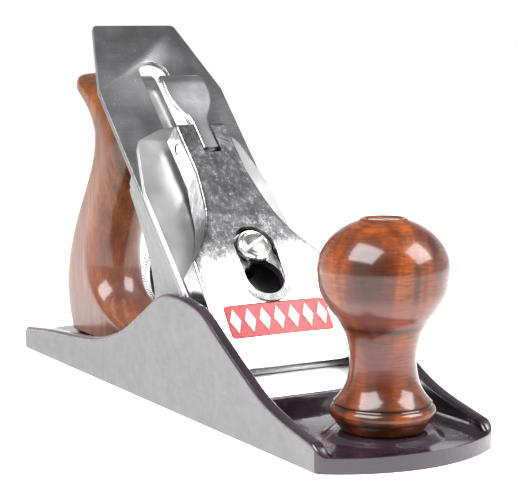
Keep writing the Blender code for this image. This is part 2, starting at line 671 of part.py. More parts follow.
def lever_cap_plan(inset=0.0):
    """Plan of the lever cap: full width below, a hollow flare, then a narrow head."""
    wide = CUTTER_WIDTH / 2 - 0.0005 - inset
    head = HEAD_HALF - inset
    flare = flowing([(wide, 0.058 - inset), (0.019 - inset, 0.065), (0.015 - inset, 0.072),
                     (0.0122 - inset, 0.081), (head, 0.095)], 3)
    return mirrored([(0, LEVER_CAP_LOW + inset), (wide - 0.0006, LEVER_CAP_LOW + inset),
                     (wide, LEVER_CAP_LOW + inset + 0.002), *flare, (head, LEVER_CAP_HIGH - inset),
                     (0, LEVER_CAP_HIGH - inset)])


def lever_cap_top(drop=0.0):
    """Height of the lever cap's front along u: a thin lip, a rising body and a level head."""
    return [(h_u, h - drop) for h_u, h in (
        (LEVER_CAP_LOW - 0.001, 0.0076), (0.0240, 0.0086), (0.0360, 0.0103), (0.0480, 0.0124),
        (0.0600, 0.0139), (0.0800, 0.0145), (LEVER_CAP_HIGH + 0.001, 0.0145))]


def make_lever_cap(cap_finish, spring_finish, rivet_finish):
    lip = HUMP_HEIGHT + GAP
    cap = bed_side_slab("lever_cap", [
        *lever_cap_top()[::-1], (LEVER_CAP_LOW - 0.001, lip), (0.0300, lip), (0.0380, 0.0031), (0.0850, 0.0031),
        (0.0960, 0.0048), (LEVER_CAP_HIGH + 0.001, 0.0048)], 0.030, cap_finish)
    combine(cap, slab("lever_cap_shape", lever_cap_plan(), -0.01, 0.03, BED), "INTERSECT")
    hollow = slab("lever_cap_hollow", lever_cap_plan(LEVER_CAP_WALL), -0.01, 0.03, BED)
    combine(hollow, bed_side_slab("hollow_side", [
        *lever_cap_top(LEVER_CAP_WALL)[::-1], (LEVER_CAP_LOW, -0.005), (LEVER_CAP_HIGH, -0.005)], 0.03), "INTERSECT")
    cut(cap, hollow)
    spring_u = 0.0905
    join(
        cap,
        slab("keyhole_boss", long_hole(0, KEYHOLE_U, CAP_SCREW_U, 0.0100), KEYHOLE_FLOOR - 0.0026, KEYHOLE_FLOOR + 0.0001,
             BED),
        rod("spring_boss", 0.0031, 0.0045, 0.0130, bed_spot(spring_u), sides=20),
    )
    meet = math.degrees(math.acos(KEYHOLE_SLOT / KEYHOLE_RADIUS))
    keyhole = [*arc(0, KEYHOLE_U, KEYHOLE_RADIUS, 180 - meet, 360 + meet, 14),
               *arc(0, CAP_SCREW_U, KEYHOLE_SLOT, 0, 180, 8)]
    rise = 0.0050
    run = prism_between("dish_run", KEYHOLE_U, CAP_SCREW_U, [
        (-DISH_RADIUS, KEYHOLE_FLOOR), (DISH_RADIUS, KEYHOLE_FLOOR), (DISH_RADIUS + rise, KEYHOLE_FLOOR + rise),
        (-DISH_RADIUS - rise, KEYHOLE_FLOOR + rise)])
    cam = Matrix.Translation(world_at(CAM_U, CAM_H)) @ ALONG_Y
    slot = LEVER_HALF + 0.0004
    cut(
        cap, run,
        rod("dish_low", DISH_RADIUS, KEYHOLE_FLOOR, KEYHOLE_FLOOR + rise, bed_spot(KEYHOLE_U),
            top_radius=DISH_RADIUS + rise, sides=28),
        rod("dish_high", DISH_RADIUS + 0.0012, KEYHOLE_FLOOR, KEYHOLE_FLOOR + rise, bed_spot(CAP_SCREW_U),
            top_radius=DISH_RADIUS + rise, sides=28),
        slab("keyhole", keyhole, -0.01, 0.03, BED),
        rod("cam_room", CAM_RADIUS + GAP, -slot, slot, cam),
        box("strap_room", (-slot, CAM_U - 0.0064, CAM_H), (slot, CAM_U, CAM_H + 0.02), BED),
        box("lever_slot", (-slot, CAM_U, CAM_H - 0.0045), (slot, 0.13, 0.03), BED),
        rod("cam_pin_hole", 0.0016 + GAP, -0.02, 0.02, cam, sides=16),
        rod("spring_rivet_hole", 0.0012 + GAP, 0, 0.0100, bed_spot(spring_u), sides=12),
    )
    rod("cam_pin", 0.0016, 0.0002 - HEAD_HALF, HEAD_HALF - 0.0002, cam, rivet_finish, sides=16)
    spring = bed_side_slab("cap_spring", [
        (0.0870, 0.0042), (0.0940, 0.0042), (0.1040, 0.0040), (0.1150, 0.0036), (0.1150, 0.0030), (0.1040, 0.0034),
        (0.0940, 0.0036), (0.0870, 0.0036)], 0.0050, spring_finish)
    cut(spring, rod("spring_eye", 0.0012 + GAP, -0.01, 0.02, bed_spot(spring_u), sides=12))
    turned("cap_spring_rivet", [
        (0, 0.0090), (0.0012, 0.0090), (0.0012, 0.0033), (0.0022, 0.0033), (0.0019, 0.0026), (0, 0.0026)],
        bed_spot(spring_u), rivet_finish, steps=16)


def make_cam_lever(finish):
    """A strap over the head, widening to a fan with a curled end, and a cam under it on the pin."""
    strap_low = 0.0129
    strap_high = 0.0149
    foot = CAM_U - 0.0046
    outline = [
        (foot, strap_high - 0.0002), (foot + 0.0003, strap_low), (CAM_U - 0.0036, CAM_H + 0.0005),
        *arc(CAM_U, CAM_H, 0.0043, 200, 330, 8), (CAM_U + 0.0044, strap_low - 0.001),
        (CAM_U + 0.006, strap_low), (0.131, strap_low + 0.0004), (FAN_TOP - 0.0015, strap_low + 0.0002),
        *arc(FAN_TOP - 0.0018, strap_low + 0.0010, 0.0018, -80, 100, 6), (0.131, strap_high + 0.0006),
        (0.119, strap_high),
    ]
    lever = bed_side_slab("cam_lever", outline, 0.012, finish)
    plan = slab("lever_shape", mirrored([
        (0, foot - 0.004), (LEVER_HALF, foot - 0.004), *flowing([
            (LEVER_HALF, 0.1175), (0.0036, 0.1205), (0.0060, 0.1240), (0.0079, 0.1275), (FAN_HALF, 0.1315),
            (FAN_HALF - 0.0004, 0.1362)], 3),
        *arc(FAN_HALF - 0.0034, FAN_TOP - 0.0030, 0.0030, 10, 90, 4), (0, FAN_TOP)]), -0.01, 0.03, BED)
    combine(lever, plan, "INTERSECT")
    cam = Matrix.Translation(world_at(CAM_U, CAM_H)) @ ALONG_Y
    cut(lever, rod("cam_bore", 0.0016 + GAP, -0.02, 0.02, cam, sides=16))


def make_cap_screw(finish):
    screw = turned("lever_cap_screw", [
        (0, 0.0158), (0.0030, 0.0156), (0.0052, 0.0148), (0.0064, 0.0134), (0.0064, 0.0121), (0.0028, 0.0121),
        (0.0028, -0.0155), (0, -0.0155)], bed_spot(CAP_SCREW_U), finish, steps=32)
    cut(screw, box("cap_screw_slot", (-0.01, -0.0006, 0.0145), (0.01, 0.0006, 0.02), bed_spot(CAP_SCREW_U)))


# ---------------------------------------------------------------- wood

def make_knob(wood_finish, stud_finish, nut_finish):
    spot = Matrix.Translation((KNOB_X, 0, 0))
    bore = BOLT_RADIUS + GAP
    recess = NUT_RADIUS + GAP
    seat = KNOB_TOP - 0.0008 - NUT_DEEP
    ball_z = KNOB_TOP - 0.0155
    crown = [(KNOB_BALL * math.sin(a), ball_z + (KNOB_TOP - ball_z) * math.cos(a) * 1.03)
             for a in [math.radians(22 + 68 * i / 6) for i in range(7)]]
    side = flowing([crown[-1], (0.0187, 0.0491), (0.0165, 0.0442), (0.0138, 0.0401), (0.0108, 0.0345),
                    (0.0100, 0.0290), (0.0108, 0.0221), (0.0124, 0.0185), (0.0144, 0.0158), (0.0150, 0.0150)], 2)
    base = [*arc(0.0142, 0.0126, 0.0018, 60, -60, 4), (0.0142, 0.0100), (0.0134, 0.0072)]
    turned("knob", [(recess, KNOB_TOP - 0.0001), *crown, *side[1:], *base, (bore, 0.0072), (bore, seat), (recess, seat)],
           spot, wood_finish, closed=True, steps=36)
    rod("knob_stud", BOLT_RADIUS, 0.0030, seat + 0.0018, spot, stud_finish, sides=16)
    nut = turned("knob_nut", [
        (0, seat + GAP + NUT_DEEP), (NUT_RADIUS - 0.0005, seat + GAP + NUT_DEEP), (NUT_RADIUS, seat + NUT_DEEP),
        (NUT_RADIUS, seat + GAP), (bore, seat + GAP), (bore, seat + 0.0022), (0, seat + 0.0022)],
        spot, nut_finish, steps=24)
    cut(nut, box("knob_nut_slot", (-0.006, -0.0006, seat + NUT_DEEP - 0.0007), (0.006, 0.0006, 0.09), spot))


def tote_outline():
    """Side view of the handle: a horn at the top rear, a leaning grip and a foot that runs forward."""
    outline = flowing([
        (-0.1160, 0.0064), (-0.1195, 0.0130), (-0.1210, 0.0230), (-0.1205, 0.0330), (-0.1180, 0.0430),
        (-0.1130, 0.0530), (-0.1065, 0.0625), (-0.1005, 0.0720), (-0.0970, 0.0810), (-0.0968, 0.0880),
        (-0.1000, 0.0945), (-0.1060, 0.1000), (-0.1105, 0.1035), (-0.1090, 0.1065), (-0.1010, 0.1070),
        (-0.0900, 0.1050), (-0.0790, 0.1005), (-0.0700, 0.0950), (-0.0650, 0.0880), (-0.0650, 0.0800),
        (-0.0690, 0.0700), (-0.0745, 0.0600), (-0.0800, 0.0500), (-0.0835, 0.0400), (-0.0835, 0.0300),
        (-0.0790, 0.0220), (-0.0700, 0.0165), (-0.0600, 0.0140), (-0.0500, 0.0120), (-0.0465, 0.0090),
        (-0.0475, 0.0064),
    ], 2)
    return [(HEEL_X + TOTE_DRAWN + x, z) for x, z in outline]


def make_tote(wood_finish, stud_finish, nut_finish):
    tote = side_slab("tote", tote_outline()[::-1], TOTE_HALF, wood_finish)
    edge = tote.modifiers.new("rounding", "BEVEL")
    edge.width = 0.0042
    edge.segments = 3
    edge.limit_method = "ANGLE"
    edge.angle_limit = math.radians(60)
    length = (BOLT_TOP - BOLT_FOOT).length
    bore = BOLT_RADIUS + GAP
    recess = NUT_RADIUS + GAP
    seat = length - 0.0005
    cut(
        tote,
        rod("tote_bore", bore, -0.01, length + 0.01, bolt_matrix(), sides=16),
        rod("tote_recess", recess, seat, length + 0.03, bolt_matrix(), sides=24),
        box("tote_underside", (-0.14, -0.03, -0.01), (-0.03, 0.03, 0.0064)),
    )
    rod("tote_stud", BOLT_RADIUS, 0.0008, seat + 0.0018, bolt_matrix(), stud_finish, sides=16)
    nut = turned("tote_nut", [
        (0, seat + GAP + NUT_DEEP), (NUT_RADIUS - 0.0005, seat + GAP + NUT_DEEP), (NUT_RADIUS, seat + NUT_DEEP),
        (NUT_RADIUS, seat + GAP), (bore, seat + GAP), (bore, seat + 0.0022), (0, seat + 0.0022)],
        bolt_matrix(), nut_finish, steps=24)
    cut(nut, box("tote_nut_slot", (-0.006, -0.0006, seat + NUT_DEEP - 0.0007), (0.006, 0.0006, 0.2), bolt_matrix()))


# ---------------------------------------------------------------- assembly

clear_scene()
PARTS = new_collection("bench_plane")
CUTTERS = new_collection("cutters")

IRON = material("painted_iron", (0.045, 0.033, 0.038), 0.2, 0.35)
FROG_GREY = material("frog_grey", (0.36, 0.36, 0.37), 0.5, 0.5)
STEEL = material("cutter_steel", (0.27, 0.28, 0.29), 1.0, 0.38)
NICKEL = material("bright_nickel", (0.72, 0.71, 0.69), 1.0, 0.18)
CHROME = material("cloudy_chrome", (0.66, 0.67, 0.68), 1.0, 0.22)
DARK = material("dark_steel", (0.14, 0.14, 0.15), 0.9, 0.45)
WOOD = material("varnished_wood", (0.27, 0.075, 0.020), 0.0, 0.22)

make_body(IRON)
make_frog(FROG_GREY)
make_frog_screws(DARK, DARK)
make_frog_setting(DARK, DARK)
make_yoke(DARK, DARK)
make_depth_nut(DARK, NICKEL, NICKEL)
make_lateral(NICKEL, DARK)
make_cutter(STEEL)
make_cap_iron(NICKEL, DARK)
make_lever_cap(CHROME, DARK, NICKEL)
make_cam_lever(CHROME)
make_cap_screw(CHROME)
make_knob(WOOD, DARK, NICKEL)
make_tote(WOOD, DARK, NICKEL)
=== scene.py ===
"""Looks for a metal bench plane with a wooden knob and handle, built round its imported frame.

Frame: +X points from heel to toe, +Z up from the sole. Pieces that lie on the frog's bed are worked out in the
bed's own frame: u runs up the bed from the cutting edge, h stands off the cutter's front face, and a runs across.
Metres throughout.
"""

import json
import math

import bmesh
import bpy
import numpy as np
from mathutils import Matrix, Vector


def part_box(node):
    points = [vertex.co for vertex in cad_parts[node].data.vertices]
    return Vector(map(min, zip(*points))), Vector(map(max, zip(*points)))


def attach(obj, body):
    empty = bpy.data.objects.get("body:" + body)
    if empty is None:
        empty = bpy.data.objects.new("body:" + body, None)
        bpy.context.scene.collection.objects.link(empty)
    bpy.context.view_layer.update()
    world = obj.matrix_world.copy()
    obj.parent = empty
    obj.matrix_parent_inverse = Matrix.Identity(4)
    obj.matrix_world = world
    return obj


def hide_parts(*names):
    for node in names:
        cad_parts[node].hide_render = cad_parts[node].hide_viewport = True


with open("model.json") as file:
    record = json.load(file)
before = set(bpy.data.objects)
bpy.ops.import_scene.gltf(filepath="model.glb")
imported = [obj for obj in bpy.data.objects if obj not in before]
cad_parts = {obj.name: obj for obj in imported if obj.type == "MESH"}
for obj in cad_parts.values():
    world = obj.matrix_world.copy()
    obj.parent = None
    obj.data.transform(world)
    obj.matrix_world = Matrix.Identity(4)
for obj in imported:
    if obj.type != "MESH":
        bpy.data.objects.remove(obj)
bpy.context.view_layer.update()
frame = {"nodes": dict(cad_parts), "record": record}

# Sizes read from the frame
PLANE_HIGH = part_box("plane_body")[1]
HALF_LENGTH = PLANE_HIGH.x
HALF_WIDTH = PLANE_HIGH.y
CHEEK_PEAK = PLANE_HIGH.z

# The bed: its slope and where its line meets the sole
BED_ANGLE = math.radians(45)
EDGE_X = 0.0543

BODY_OF = {node: body for body, nodes in frame["record"]["behaviour"]["bodies"].items() for node in nodes}
SLOT_OF = {part["node"]: part["material_slot"] for part in frame["record"]["subparts"]}


# ---------------------------------------------------------------- workshop

def bed_points(a, u, h):
    """World points of bed coordinates: x falls with u and rises with h, z rises with both."""
    a, u, h = np.broadcast_arrays(a, u, h)
    cos, sin = math.cos(BED_ANGLE), math.sin(BED_ANGLE)
    return np.stack([EDGE_X - cos * u + sin * h, a, sin * u + cos * h], axis=-1)


def new_piece(name, vertices, faces, finish):
    """An object at the origin, with its place in its mesh."""
    mesh = bpy.data.meshes.new(name)
    mesh.from_pydata([tuple(p) for p in vertices], [], [tuple(f) for f in faces])
    mesh.materials.append(finish)
    piece = bpy.data.objects.new(name, mesh)
    bpy.context.scene.collection.objects.link(piece)
    return piece


def tidy(piece, angle=35, merge=1e-6):
    """Merges doubles, turns the faces outward and shades smoothly up to an angle."""
    bm = bmesh.new()
    bm.from_mesh(piece.data)
    bmesh.ops.remove_doubles(bm, verts=bm.verts, dist=merge)
    bmesh.ops.dissolve_degenerate(bm, edges=bm.edges, dist=1e-7)
    bmesh.ops.recalc_face_normals(bm, faces=bm.faces)
    bm.to_mesh(piece.data)
    bm.free()
    piece.data.shade_smooth()
    piece.data.set_sharp_from_angle(angle=math.radians(angle))
    return piece


def apply_modifiers(piece):
    """Puts the mesh that the modifiers make in place of the piece's own."""
    graph = bpy.context.evaluated_depsgraph_get()
    mesh = bpy.data.meshes.new_from_object(piece.evaluated_get(graph))
    piece.modifiers.clear()
    piece.data = mesh


def softened(node, name, finish, width):
    """A copy of a CAD node with its triangles merged back into flat faces and its edges rounded."""
    piece = bpy.data.objects.new(name, frame["nodes"][node].data.copy())
    bpy.context.scene.collection.objects.link(piece)
    bm = bmesh.new()
    bm.from_mesh(piece.data)
    bmesh.ops.remove_doubles(bm, verts=bm.verts, dist=1e-6)
    bmesh.ops.dissolve_limit(bm, angle_limit=math.radians(1.0), verts=bm.verts, edges=bm.edges)
    bm.to_mesh(piece.data)
    bm.free()
    piece.data.materials.clear()
    piece.data.materials.append(finish)
    edge = piece.modifiers.new("edge", "BEVEL")
    edge.width = width
    edge.segments = 2
    edge.limit_method = "ANGLE"
    edge.angle_limit = math.radians(30)
    edge.harden_normals = False
    edge.use_clamp_overlap = True
    piece.data.shade_smooth()
    apply_modifiers(piece)
    piece.data.shade_smooth()
    piece.data.set_sharp_from_angle(angle=math.radians(40))
    stand_for(piece, node)


def through(points, count):
    """A smooth curve through given points: a Catmull-Rom spline, each stretch a cubic in its own share t,
    laid out again as count points at equal steps of its length."""
    p = np.asarray(points, float)
    p = np.vstack([2 * p[0] - p[1], p, 2 * p[-1] - p[-2]])
    t = np.linspace(0, 1, 12, endpoint=False)[:, None, None]
    a, b, c, d = p[:-3], p[1:-2], p[2:-1], p[3:]
    fine = 0.5 * (2 * b + (c - a) * t + (2 * a - 5 * b + 4 * c - d) * t ** 2 + (3 * b - a - 3 * c + d) * t ** 3)
    fine = np.vstack([fine.transpose(1, 0, 2).reshape(-1, p.shape[1]), p[-2]])
    along = np.concatenate([[0], np.cumsum(np.linalg.norm(np.diff(fine, axis=0), axis=1))])
    even = np.linspace(0, along[-1], count)
    return np.stack([np.interp(even, along, column) for column in fine.T], axis=-1)


def ease(low, high, value):
    """0 below low and 1 above high, joined by the smooth cubic 3t^2 - 2t^3."""
    t = np.clip((value - low) / (high - low), 0, 1)
    return t * t * (3 - 2 * t)


def band_faces(stations, ring):
    """Four-sided faces between each loop of points and the next, where point i of loop s has number s * ring + i."""
    loop = np.arange(stations - 1)[:, None] * ring
    first = loop + np.arange(ring)
    follow = loop + (np.arange(ring) + 1) % ring
    return np.stack([first, follow, follow + ring, first + ring], axis=-1).reshape(-1, 4).tolist()


def arc_points(x, y, radius, start, end, steps=20):
    """Points (x + r cos, y + r sin) between two angles in degrees."""
    angle = np.radians(np.linspace(start, end, steps))
    return np.column_stack([x + radius * np.cos(angle), y + radius * np.sin(angle)])


def skin(name, grid, finish, capped=True, angle=35):
    """A closed band through a grid of points [station, place round the loop], with its end loops filled if capped."""
    stations, ring = grid.shape[:2]
    faces = band_faces(stations, ring)
    if capped:
        faces.append(list(range(ring))[::-1])
        faces.append(list(range((stations - 1) * ring, stations * ring)))
    return tidy(new_piece(name, grid.reshape(-1, 3), faces, finish), angle)


def rounded_loop(half, low, high, radius):
    """Closed loops [station, place, (a, h)] of a rectangle with round corners: straight sides and quarter circles.
    half, low, high and radius may each be an array with one value per station."""
    half, low, high, radius = np.broadcast_arrays(*np.atleast_1d(half, low, high, radius))
    turn = np.linspace(0, math.pi / 2, 5)
    loops = []
    for quarter, (side, end) in enumerate(((1, 1), (-1, 1), (-1, -1), (1, -1))):
        angle = turn + quarter * math.pi / 2
        centre_a = side * (half - radius)[:, None]
        centre_h = np.where(end > 0, high - radius, low + radius)[:, None]
        loops.append(np.stack([centre_a + radius[:, None] * np.cos(angle),
                               centre_h + radius[:, None] * np.sin(angle)], axis=-1))
    return np.concatenate(loops, axis=1)


def spun(profile, place, steps, ripple=None):
    """Points of a profile of (radius, z) turned about local Z; ripple(angle, z) adds to the radius."""
    profile = np.asarray(profile, float)
    turn = np.linspace(0, 2 * math.pi, steps, endpoint=False)
    radius = profile[:, :1] + np.zeros(steps)
    if ripple is not None:
        radius = radius + ripple(turn[None, :], profile[:, 1:])
    local = np.stack([radius * np.cos(turn), radius * np.sin(turn), profile[:, 1:] + np.zeros(steps)], axis=-1)
    matrix = np.array(place)
    return local @ matrix[:3, :3].T + matrix[:3, 3]


def turned(name, profile, finish, place, steps):
    """A profile from axis to axis turned about local Z, with its two small ends filled."""
    return skin(name, spun(profile, place, steps), finish)


def ring_turned(name, profile, finish, place, steps=96, ripple=None, angle=35):
    """A closed profile of (radius, z) turned right round, so the skin closes on itself like a ring."""
    grid = spun(profile, place, steps, ripple)
    return skin(name, np.concatenate([grid, grid[:1]]), finish, capped=False, angle=angle)


def block(low, high, matrix):
    """A box between two corners in the matrix's own frame."""
    bm = bmesh.new()
    bmesh.ops.create_cube(bm, size=1)
    size = Vector(high) - Vector(low)
    bmesh.ops.transform(bm, matrix=matrix @ Matrix.Translation((Vector(high) + Vector(low)) / 2)
                        @ Matrix.Diagonal((*size, 1)), verts=bm.verts)
    mesh = bpy.data.meshes.new("block")
    bm.to_mesh(mesh)
    bm.free()
    obj = bpy.data.objects.new("block", mesh)
    bpy.context.scene.collection.objects.link(obj)
    return obj


def prism(outline, low, high, matrix):
    """An outline in local X and Y, filled from local z low to high."""
    outline = np.asarray(outline, float)
    grid = np.stack([np.column_stack([outline, np.full(len(outline), z)]) for z in (low, high)])
    piece = skin("prism", grid, PAINT)
    piece.data.transform(matrix)
    return piece


def rod(radius, low, high, matrix):
    """A round bar about local Z, from z low to high."""
    sides = 48
    turn = np.linspace(0, 2 * math.pi, sides, endpoint=False)
    grid = np.stack([np.stack([radius * np.cos(turn), radius * np.sin(turn), np.full(sides, z)], axis=-1)
                     for z in (low, high)])
    piece = skin("rod", grid, PAINT)
    piece.data.transform(matrix)
    return piece


def work_with(piece, operation, tools):
    """Cuts or joins each tool in turn, then removes the tools."""
    for tool in tools:
        step = piece.modifiers.new(operation.lower(), "BOOLEAN")
        step.operation = operation
        step.solver = "MANIFOLD"
        step.object = tool
    apply_modifiers(piece)
    for tool in tools:
        bpy.data.objects.remove(tool, do_unlink=True)
    piece.data.set_sharp_from_angle(angle=math.radians(35))


def cut(piece, *tools):
    work_with(piece, "DIFFERENCE", tools)


def add(piece, *tools):
    work_with(piece, "UNION", tools)


BED = Matrix.Translation((EDGE_X, 0, 0)) @ Matrix((
    (0, -math.cos(BED_ANGLE), math.sin(BED_ANGLE), 0),
    (1, 0, 0, 0),
    (0, math.sin(BED_ANGLE), math.cos(BED_ANGLE), 0),
    (0, 0, 0, 1),
))
ALONG_X = Matrix.Rotation(math.pi / 2, 4, "Y")
ALONG_Y = Matrix.Rotation(-math.pi / 2, 4, "X")


def bed_spot(u):
    """The bed's frame moved up the bed to u, so that local Z stands off the bed there."""
    return BED @ Matrix.Translation((0, u, 0))


def stand_for(piece, node):
    """The piece rides with a CAD node's body and replaces it."""
    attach(piece, BODY_OF[node])
    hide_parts(node)


# ---------------------------------------------------------------- finishes

def linear(red, green, blue):
    """A colour given as it looks on screen, 0 to 255, made linear."""
    return tuple(((c / 255 + 0.055) / 1.055) ** 2.4 if c > 10 else c / 255 / 12.92 for c in (red, green, blue))


class Finish:
    """A Principled material with short calls for the procedural nodes that vary it."""

    def __init__(self, name, colour, metallic=0.0, roughness=0.4, **sockets):
        self.material = bpy.data.materials.new(name)
        self.material.use_nodes = True
        self.tree = self.material.node_tree
        self.shader = self.tree.nodes["Principled BSDF"]
        self.set(**{"Base Color": (*colour, 1), "Metallic": metallic, "Roughness": roughness}, **sockets)
        self.place = self.tree.nodes.new("ShaderNodeTexCoord").outputs["Object"]

    def set(self, **sockets):
        for socket, value in sockets.items():
            self.shader.inputs[socket.replace("_", " ")].default_value = value

    def link(self, source, target):
        self.tree.links.new(source, target)

    def at(self, scale, turn=(0, 0, 0)):
        node = self.tree.nodes.new("ShaderNodeMapping")
        node.inputs["Rotation"].default_value = turn
        node.inputs["Scale"].default_value = scale
        self.link(self.place, node.inputs["Vector"])
        return node.outputs["Vector"]

    def noise(self, scale, detail=4, rough=0.5, distort=0.0, vector=None):
        node = self.tree.nodes.new("ShaderNodeTexNoise")
        node.inputs["Scale"].default_value = scale
        node.inputs["Detail"].default_value = detail
        node.inputs["Roughness"].default_value = rough
        node.inputs["Distortion"].default_value = distort
        self.link(vector or self.place, node.inputs["Vector"])
        return node.outputs["Fac"]

    def wave(self, scale, distort, detail, rough, vector, detail_scale):
        node = self.tree.nodes.new("ShaderNodeTexWave")
        node.inputs["Scale"].default_value = scale
        node.inputs["Distortion"].default_value = distort
        node.inputs["Detail"].default_value = detail
        node.inputs["Detail Roughness"].default_value = rough
        node.inputs["Detail Scale"].default_value = detail_scale
        self.link(vector, node.inputs["Vector"])
        return node.outputs["Fac"]

    def attribute(self, name):
        node = self.tree.nodes.new("ShaderNodeAttribute")
        node.attribute_name = name
        return node.outputs["Fac"]

    def split(self, vector):
        node = self.tree.nodes.new("ShaderNodeSeparateXYZ")
        self.link(vector, node.inputs[0])
        return node.outputs

    def ramp(self, value, *stops):
        """Stops are (place, colour or number)."""
        node = self.tree.nodes.new("ShaderNodeValToRGB")
        elements = node.color_ramp.elements
        while len(elements) < len(stops):
            elements.new(0.5)
        for element, (spot, colour) in zip(elements, stops):
            element.position = spot
            element.color = (*colour, 1) if isinstance(colour, tuple) else (colour, colour, colour, 1)
        self.link(value, node.inputs["Fac"])
        return node.outputs["Color"]

    def span(self, value, low, high, to_low=0.0, to_high=1.0):
        node = self.tree.nodes.new("ShaderNodeMapRange")
        for socket, number in zip(("From Min", "From Max", "To Min", "To Max"), (low, high, to_low, to_high)):
            node.inputs[socket].default_value = number
        self.link(value, node.inputs["Value"])
        return node.outputs["Result"]

    def math(self, kind, first, second):
        node = self.tree.nodes.new("ShaderNodeMath")
        node.operation = kind
        for socket, value in zip(node.inputs, (first, second)):
            if isinstance(value, (int, float)):
                socket.default_value = value
            else:
                self.link(value, socket)
        return node.outputs["Value"]

    def mix(self, factor, first, second):
        node = self.tree.nodes.new("ShaderNodeMix")
        node.data_type = "RGBA"
        for socket, value in zip((node.inputs[0], node.inputs[6], node.inputs[7]), (factor, first, second)):
            if isinstance(value, (int, float)):
                socket.default_value = value
            elif isinstance(value, tuple):
                socket.default_value = (*value, 1)
            else:
                self.link(value, socket)
        return node.outputs[2]

    def bump(self, height, strength, distance=0.0005, below=None):
        node = self.tree.nodes.new("ShaderNodeBump")
        node.inputs["Strength"].default_value = strength
        node.inputs["Distance"].default_value = distance
        self.link(height, node.inputs["Height"])
        if below is not None:
            self.link(below, node.inputs["Normal"])
        return node.outputs["Normal"]

    def wear(self, **outputs):
        for socket, output in outputs.items():
            self.link(output, self.shader.inputs[socket.replace("_", " ")])


def japanned():
    """Thick black paint with a warm cast, glossy and slightly rippled. The walls of slots and bores take it from the
    shapes that cut them."""
    finish = Finish("japanned_paint", linear(40, 32, 36), 0.0, 0.22, Coat_Weight=0.5, Coat_Roughness=0.10)
    ripple = finish.noise(260, 3, 0.5)
    pits = finish.noise(1500, 2, 0.5)
    tone = finish.ramp(finish.noise(40, 3), (0.35, linear(30, 19, 28)), (0.65, linear(48, 34, 45)))
    finish.wear(Base_Color=tone, Roughness=finish.span(ripple, 0.3, 0.7, 0.16, 0.34),
                Normal=finish.bump(pits, 0.10, 0.0002, finish.bump(ripple, 0.35, 0.0006)))
    return finish


def blade_steel():
    """Brushed steel with slow clouds and a few pale specks."""
    finish = Finish("blade_steel", linear(120, 120, 122), 1.0, 0.34)
    brushed = finish.noise(1, 6, 0.65, vector=finish.at((1500, 60, 1500)))
    cloud = finish.noise(60, 4, 0.6)
    specks = finish.noise(1300, 2, 0.5)
    tone = finish.mix(0.5, finish.ramp(brushed, (0.3, linear(126, 126, 128)), (0.7, linear(146, 146, 148))),
                      finish.ramp(cloud, (0.3, linear(120, 120, 122)), (0.7, linear(156, 156, 158))))
    tone = finish.mix(finish.span(specks, 0.66, 0.74, 0.0, 0.45), tone, linear(230, 230, 230))
    finish.wear(Base_Color=tone, Roughness=finish.span(cloud, 0.3, 0.7, 0.28, 0.42),
                Normal=finish.bump(brushed, 0.10, 0.0001))
    return finish


def bright_nickel():
    """Bright plating, faintly smeared."""
    finish = Finish("bright_nickel", linear(215, 214, 210), 1.0, 0.2)
    smear = finish.noise(70, 5, 0.6, 0.4)
    finish.wear(Base_Color=finish.ramp(smear, (0.35, linear(196, 195, 192)), (0.65, linear(226, 225, 222))),
                Roughness=finish.span(smear, 0.3, 0.7, 0.14, 0.28))
    return finish


def frog_grey():
    """Grey casting with a fine grit."""
    finish = Finish("frog_casting", linear(130, 130, 130), 0.4, 0.5)
    grit = finish.noise(420, 4, 0.6)
    finish.wear(Base_Color=finish.ramp(grit, (0.3, linear(118, 118, 118)), (0.7, linear(142, 142, 142))),
                Roughness=finish.span(grit, 0.3, 0.7, 0.42, 0.6), Normal=finish.bump(grit, 0.25, 0.0003))
    return finish


def dark_steel():
    """Dull steel for screws and studs."""
    finish = Finish("dark_steel", linear(96, 95, 96), 0.9, 0.4)
    grit = finish.noise(300, 4, 0.6)
    finish.wear(Base_Color=finish.ramp(grit, (0.3, linear(82, 81, 82)), (0.7, linear(112, 111, 112))),
                Roughness=finish.span(grit, 0.3, 0.7, 0.32, 0.5))
    return finish


def casting_finish():
    """Ground iron where the ground mark is high, paint elsewhere, with a chipped line between them."""
    finish = Finish("plane_casting", linear(40, 32, 36), 0.0, 0.22, Coat_Roughness=0.10, Specular_IOR_Level=0.3)
    iron_cloud = finish.noise(90, 5, 0.6)
    lines = finish.noise(1, 6, 0.7, vector=finish.at((60, 60, 2600)))
    iron = finish.mix(0.4, finish.ramp(iron_cloud, (0.3, linear(118, 118, 118)), (0.7, linear(128, 128, 128))),
                      finish.ramp(lines, (0.3, linear(114, 114, 114)), (0.7, linear(132, 132, 132))))
    ripple = finish.noise(260, 3, 0.5)
    pits = finish.noise(1500, 2, 0.5)
    paint = finish.ramp(finish.noise(40, 3), (0.35, linear(30, 19, 28)), (0.65, linear(48, 34, 45)))
    chips = finish.noise(420, 5, 0.65)
    edge = finish.math("ADD", finish.attribute("ground"), finish.span(chips, 0.3, 0.7, -0.20, 0.20))
    bare = finish.span(edge, 0.47, 0.53)
    finish.wear(
        Base_Color=finish.mix(bare, paint, iron),
        Metallic=finish.math("MULTIPLY", bare, 0.55),
        Roughness=finish.math("ADD", finish.math("MULTIPLY", bare, 0.28), finish.span(ripple, 0.3, 0.7, 0.16, 0.30)),
        Coat_Weight=finish.span(bare, 0, 1, 0.9, 0.0),
        Normal=finish.bump(pits, 0.10, 0.0002, finish.bump(ripple, 0.42, 0.0006, finish.bump(lines, 0.08, 0.0001))),
    )
    return finish


